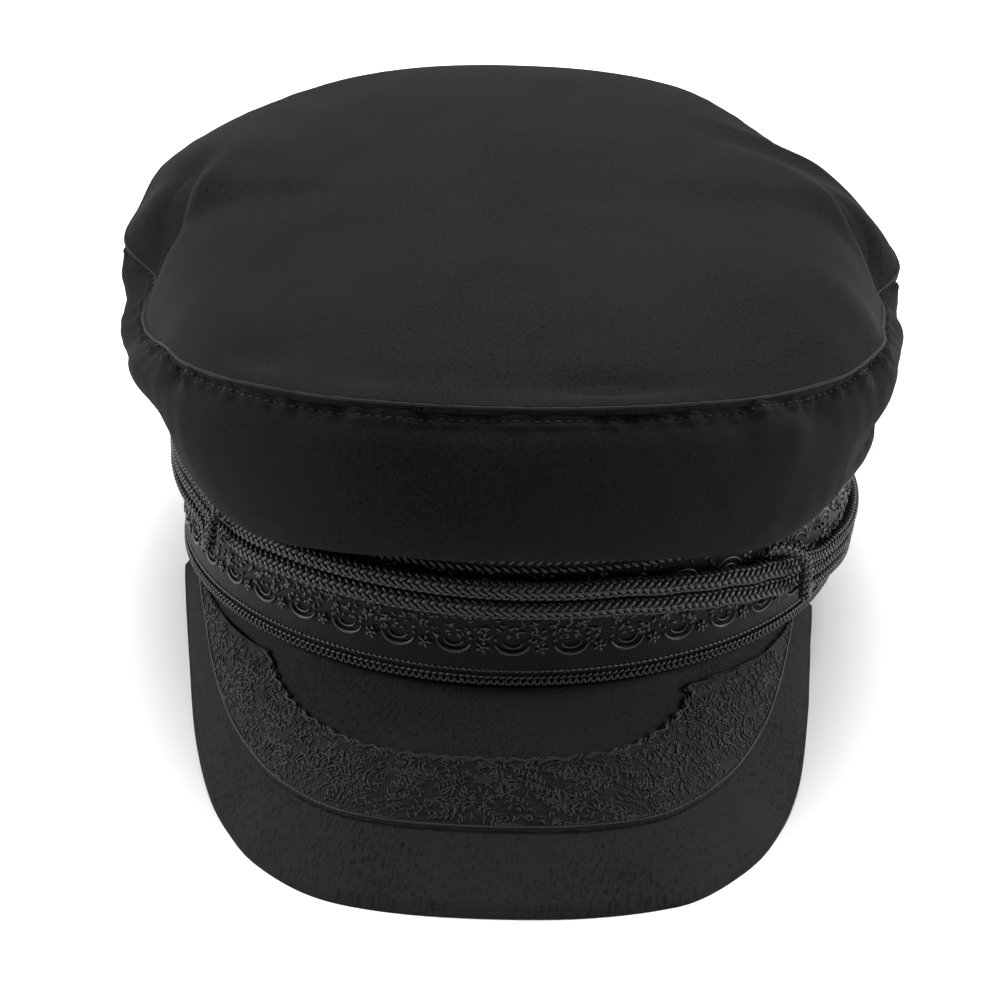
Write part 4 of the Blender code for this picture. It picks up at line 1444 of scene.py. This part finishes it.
def make_embroidery(settings):
    """Leaves, flowers and edges of satin stitches, laid along the applique."""
    place, share, turn, size = embroidery_stitches()
    step = 0.0005
    points, ahead, beside = (
        np.array([applique_point(a + forth, b + out, STITCHES_LIFT) for a, b in zip(place, share)])
        for forth, out in ((0, 0), (step, 0), (0, step * 8))
    )
    forwards = unit(ahead - points)
    outwards = facing_up(unit(np.cross(forwards, unit(beside - points))))
    across = np.cross(outwards, forwards)
    along = forwards * np.cos(turn)[:, None] + across * np.sin(turn)[:, None]
    guide = guide_object("embroidery_points", points, outwards, sizes=size, along=along)
    motif = motif_object(grain_mesh("satin_stitch", *SATIN_STITCH, segments=5, rings=3))
    thread = thread_finish(
        "black_embroidery_thread", settings.embroidery_colour, 0.5, sheen=0.06, specular=0.3, pitch=0.00035
    )
    piece = grow("embroidery", guide, "motif_scatter", {"Motif": motif}, thread)
    bpy.data.objects.remove(motif)
    finish_piece(piece, [])


def flower_stitches(place, share, dice):
    """A round flower of short stitches, as (place, share, turn, size)."""
    made = []
    for ring, count, size in FLOWER_RINGS:
        first = dice.uniform(0, 1)
        for petal in range(count):
            turn = 2 * math.pi * (petal + first) / count + dice.uniform(-0.12, 0.12)
            along = ring * math.cos(turn) / APPLIQUE_LENGTH
            out = ring * math.sin(turn) / APPLIQUE_WIDTH
            made.append((place + along, share + out, turn, size))
    return made


def leaf_stitches(place, share, dice):
    """A small bent spray of leaves, headed any way, as (place, share, turn, size)."""
    made = []
    heading = dice.uniform(-1.2, 1.2)
    bend = dice.uniform(-0.16, 0.16)
    x, y = 0.0, 0.0
    for step in range(7):
        x += LEAF_STEP * math.cos(heading)
        y += LEAF_STEP * math.sin(heading)
        for side in (-1, 1):
            reach = side * (0.0009 - 0.00007 * step)
            along = (x - reach * math.sin(heading)) / APPLIQUE_LENGTH
            out = (y + reach * math.cos(heading)) / APPLIQUE_WIDTH
            spot = min(max(share + out, 0.05), 0.95)
            made.append((place + along, spot, heading + side * 0.7, 0.85 - 0.05 * step))
        heading += bend
    return made


# ---- stage


def add_light(name, location, size, power):
    light = bpy.data.lights.new(name, "AREA")
    light.shape = "DISK"
    light.size = size
    light.energy = power
    lamp = add_object(name, light)
    lamp.location = location
    direction = Vector(LIGHT_TARGET) - lamp.location
    lamp.rotation_euler = direction.to_track_quat("-Z", "Y").to_euler()


def make_floor(settings):
    """A round floor at the height that the cap rests on."""
    angle = np.radians(ring_angles(FLOOR_SIDES))
    circle = np.stack([np.sin(angle), -np.cos(angle), 0 * angle], axis=-1)
    points = np.concatenate([circle * radius for radius in FLOOR_RADII] + [np.zeros((1, 3))])
    faces = []
    for index in range(FLOOR_SIDES):
        following = (index + 1) % FLOOR_SIDES
        faces.append((index + FLOOR_SIDES, following + FLOOR_SIDES, following, index))
        faces.append((index, following, 2 * FLOOR_SIDES))
    mesh = bpy.data.meshes.new("floor")
    mesh.from_pydata(points.tolist(), [], faces)
    mesh.materials.append(backdrop_finish("pale_floor", settings.floor_colour))
    add_object("floor", mesh)


def make_world(settings):
    world = bpy.data.worlds.new("studio")
    world.use_nodes = True
    background = world.node_tree.nodes["Background"]
    background.inputs["Color"].default_value = (*settings.sky_colour, 1)
    background.inputs["Strength"].default_value = settings.sky_strength
    bpy.context.scene.world = world


def make_camera():
    camera = bpy.data.cameras.new("camera")
    camera.lens = CAMERA_LENS
    camera.sensor_width = 36.0
    camera.clip_end = 20.0
    holder = add_object("camera", camera)
    sin, cos = math.sin(CAMERA_HEIGHT_ANGLE), math.cos(CAMERA_HEIGHT_ANGLE)
    back = Vector((0, -cos, sin))
    axes = Matrix((Vector((1, 0, 0)), Vector((0, sin, cos)), back)).transposed().to_4x4()
    place = Matrix.Translation(Vector(CAMERA_TARGET) + back * CAMERA_DISTANCE)
    holder.matrix_world = REST @ place @ axes @ Matrix.Rotation(CAMERA_ROLL, 4, "Z")
    bpy.context.scene.camera = holder


# ---- settings and tools


class CapClothSettings(bpy.types.PropertyGroup):
    cloth_colour: bpy.props.FloatVectorProperty(
        name="Cloth Colour", description="Colour of the crown's and band's twill", subtype="COLOR",
        size=3, min=0.0, max=1.0, default=(0.0047, 0.0047, 0.0048),
    )
    peak_colour: bpy.props.FloatVectorProperty(
        name="Peak Colour", description="Colour of the twill on the peak", subtype="COLOR",
        size=3, min=0.0, max=1.0, default=(0.0112, 0.0112, 0.0115),
    )
    twill_pitch: bpy.props.FloatProperty(
        name="Twill Pitch", description="Distance from rib to rib of the twill", unit="LENGTH",
        min=0.0002, max=0.01, default=0.0011, precision=5,
    )
    cloth_thickness: bpy.props.FloatProperty(
        name="Cloth Thickness", description="Thickness of the crown's and band's walls", unit="LENGTH",
        min=0.0005, max=0.004, default=0.0020, precision=5,
    )
    stitch_length: bpy.props.FloatProperty(
        name="Stitch Length", description="Length of each stitch beside the seam", unit="LENGTH",
        min=0.0005, max=0.01, default=0.0017, precision=5,
    )


class CapTrimSettings(bpy.types.PropertyGroup):
    lace_colour: bpy.props.FloatVectorProperty(
        name="Lace Colour", description="Colour of the lace trim's thread", subtype="COLOR",
        size=3, min=0.0, max=1.0, default=(0.0050, 0.0050, 0.0052),
    )
    crescent_pitch: bpy.props.FloatProperty(
        name="Crescent Pitch", description="Distance between the crescents of the lace", unit="LENGTH",
        min=0.005, max=0.05, default=0.0138, precision=5,
    )
    embroidery_colour: bpy.props.FloatVectorProperty(
        name="Embroidery Colour", description="Colour of the thread on the peak", subtype="COLOR",
        size=3, min=0.0, max=1.0, default=(0.0106, 0.0102, 0.0126),
    )


class CapCordSettings(bpy.types.PropertyGroup):
    cord_colour: bpy.props.FloatVectorProperty(
        name="Cord Colour", description="Colour of the cords' thread", subtype="COLOR",
        size=3, min=0.0, max=1.0, default=(0.0078, 0.0078, 0.0080),
    )
    braid_pitch: bpy.props.FloatProperty(
        name="Braid Pitch", description="Distance from grain to grain along the cord", unit="LENGTH",
        min=0.0005, max=0.01, default=0.00200, precision=5,
    )
    braid_columns: bpy.props.IntProperty(
        name="Braid Columns", description="Columns of grains round the cord, an even number",
        min=4, max=16, default=8,
    )
    braid_slant: bpy.props.FloatProperty(
        name="Braid Slant", description="Lean of each grain from the cord's own direction",
        subtype="ANGLE", min=0.0, max=1.5, default=math.radians(38),
    )


class CapStageSettings(bpy.types.PropertyGroup):
    floor_colour: bpy.props.FloatVectorProperty(
        name="Floor Colour", description="Colour of the floor", subtype="COLOR",
        size=3, min=0.0, max=1.0, default=(0.94, 0.94, 0.94),
    )
    sky_colour: bpy.props.FloatVectorProperty(
        name="Sky Colour", description="Colour of the soft light from all sides", subtype="COLOR",
        size=3, min=0.0, max=1.0, default=(1.0, 1.0, 1.0),
    )
    sky_strength: bpy.props.FloatProperty(
        name="Sky Strength", description="Strength of the soft light from all sides",
        min=0.0, max=5.0, default=0.27,
    )


class CapPieceOperator:
    """What the cap's operators share."""

    bl_options = {"REGISTER", "UNDO"}


class MESH_OT_cap_crown(CapPieceOperator, bpy.types.Operator):
    """Make the crown's side panel, its top panel and the stitches of their seam"""

    bl_idname = "mesh.cap_crown"
    bl_label = "Crown"

    def execute(self, context):
        settings = context.scene.cap_cloth
        make_crown_side(settings)
        make_crown_top(settings)
        make_seam_stitches(settings)
        return {"FINISHED"}


class MESH_OT_cap_band(CapPieceOperator, bpy.types.Operator):
    """Make the head band"""

    bl_idname = "mesh.cap_band"
    bl_label = "Head Band"

    def execute(self, context):
        make_band(context.scene.cap_cloth)
        return {"FINISHED"}


class MESH_OT_cap_trim(CapPieceOperator, bpy.types.Operator):
    """Make the lace trim round the band"""

    bl_idname = "mesh.cap_trim"
    bl_label = "Lace Trim"

    def execute(self, context):
        make_trim(context.scene.cap_trim)
        return {"FINISHED"}


class MESH_OT_cap_cords(CapPieceOperator, bpy.types.Operator):
    """Make the pair of braided cords and the cord that ties them"""

    bl_idname = "mesh.cap_cords"
    bl_label = "Cords"

    def execute(self, context):
        make_cords(context.scene.cap_cord)
        return {"FINISHED"}


class MESH_OT_cap_peak(CapPieceOperator, bpy.types.Operator):
    """Make the peak and its embroidered applique"""

    bl_idname = "mesh.cap_peak"
    bl_label = "Peak"

    def execute(self, context):
        make_peak(context.scene.cap_cloth)
        make_applique(context.scene.cap_trim)
        return {"FINISHED"}


class SCENE_OT_cap_stage(CapPieceOperator, bpy.types.Operator):
    """Make the floor, lights, world and camera"""

    bl_idname = "scene.cap_stage"
    bl_label = "Stage"

    def execute(self, context):
        settings = context.scene.cap_stage
        make_floor(settings)
        make_world(settings)
        for light in LIGHTS:
            add_light(*light)
        make_camera()
        context.scene.view_settings.view_transform = "Standard"
        return {"FINISHED"}


class VIEW3D_PT_cap(bpy.types.Panel):
    """The cap's settings and the buttons that make its pieces"""

    bl_label = "Sailor Cap"
    bl_space_type = "VIEW_3D"
    bl_region_type = "UI"
    bl_category = "Cap"

    def draw(self, context):
        layout = self.layout
        scene = context.scene
        for group in (scene.cap_cloth, scene.cap_trim, scene.cap_cord, scene.cap_stage):
            box = layout.box()
            for name in group.__annotations__:
                box.prop(group, name)
        for tool in PIECE_TOOLS:
            layout.operator(tool.bl_idname)


PIECE_TOOLS = (
    MESH_OT_cap_crown,
    MESH_OT_cap_band,
    MESH_OT_cap_trim,
    MESH_OT_cap_cords,
    MESH_OT_cap_peak,
    SCENE_OT_cap_stage,
)
SETTINGS = (CapClothSettings, CapTrimSettings, CapCordSettings, CapStageSettings)
CLASSES = SETTINGS + PIECE_TOOLS + (VIEW3D_PT_cap,)


def register():
    for item in CLASSES:
        bpy.utils.register_class(item)
    bpy.types.Scene.cap_cloth = bpy.props.PointerProperty(type=CapClothSettings)
    bpy.types.Scene.cap_trim = bpy.props.PointerProperty(type=CapTrimSettings)
    bpy.types.Scene.cap_cord = bpy.props.PointerProperty(type=CapCordSettings)
    bpy.types.Scene.cap_stage = bpy.props.PointerProperty(type=CapStageSettings)


def unregister():
    for name in ("cap_cloth", "cap_trim", "cap_cord", "cap_stage"):
        delattr(bpy.types.Scene, name)
    for item in reversed(CLASSES):
        bpy.utils.unregister_class(item)


def main():
    register()
    motif_row_tree()
    motif_scatter_tree()
    braided_cord_tree()
    bpy.ops.mesh.cap_crown()
    bpy.ops.mesh.cap_band()
    bpy.ops.mesh.cap_trim()
    bpy.ops.mesh.cap_cords()
    bpy.ops.mesh.cap_peak()
    bpy.ops.scene.cap_stage()


if __name__ == "__main__":
    main()
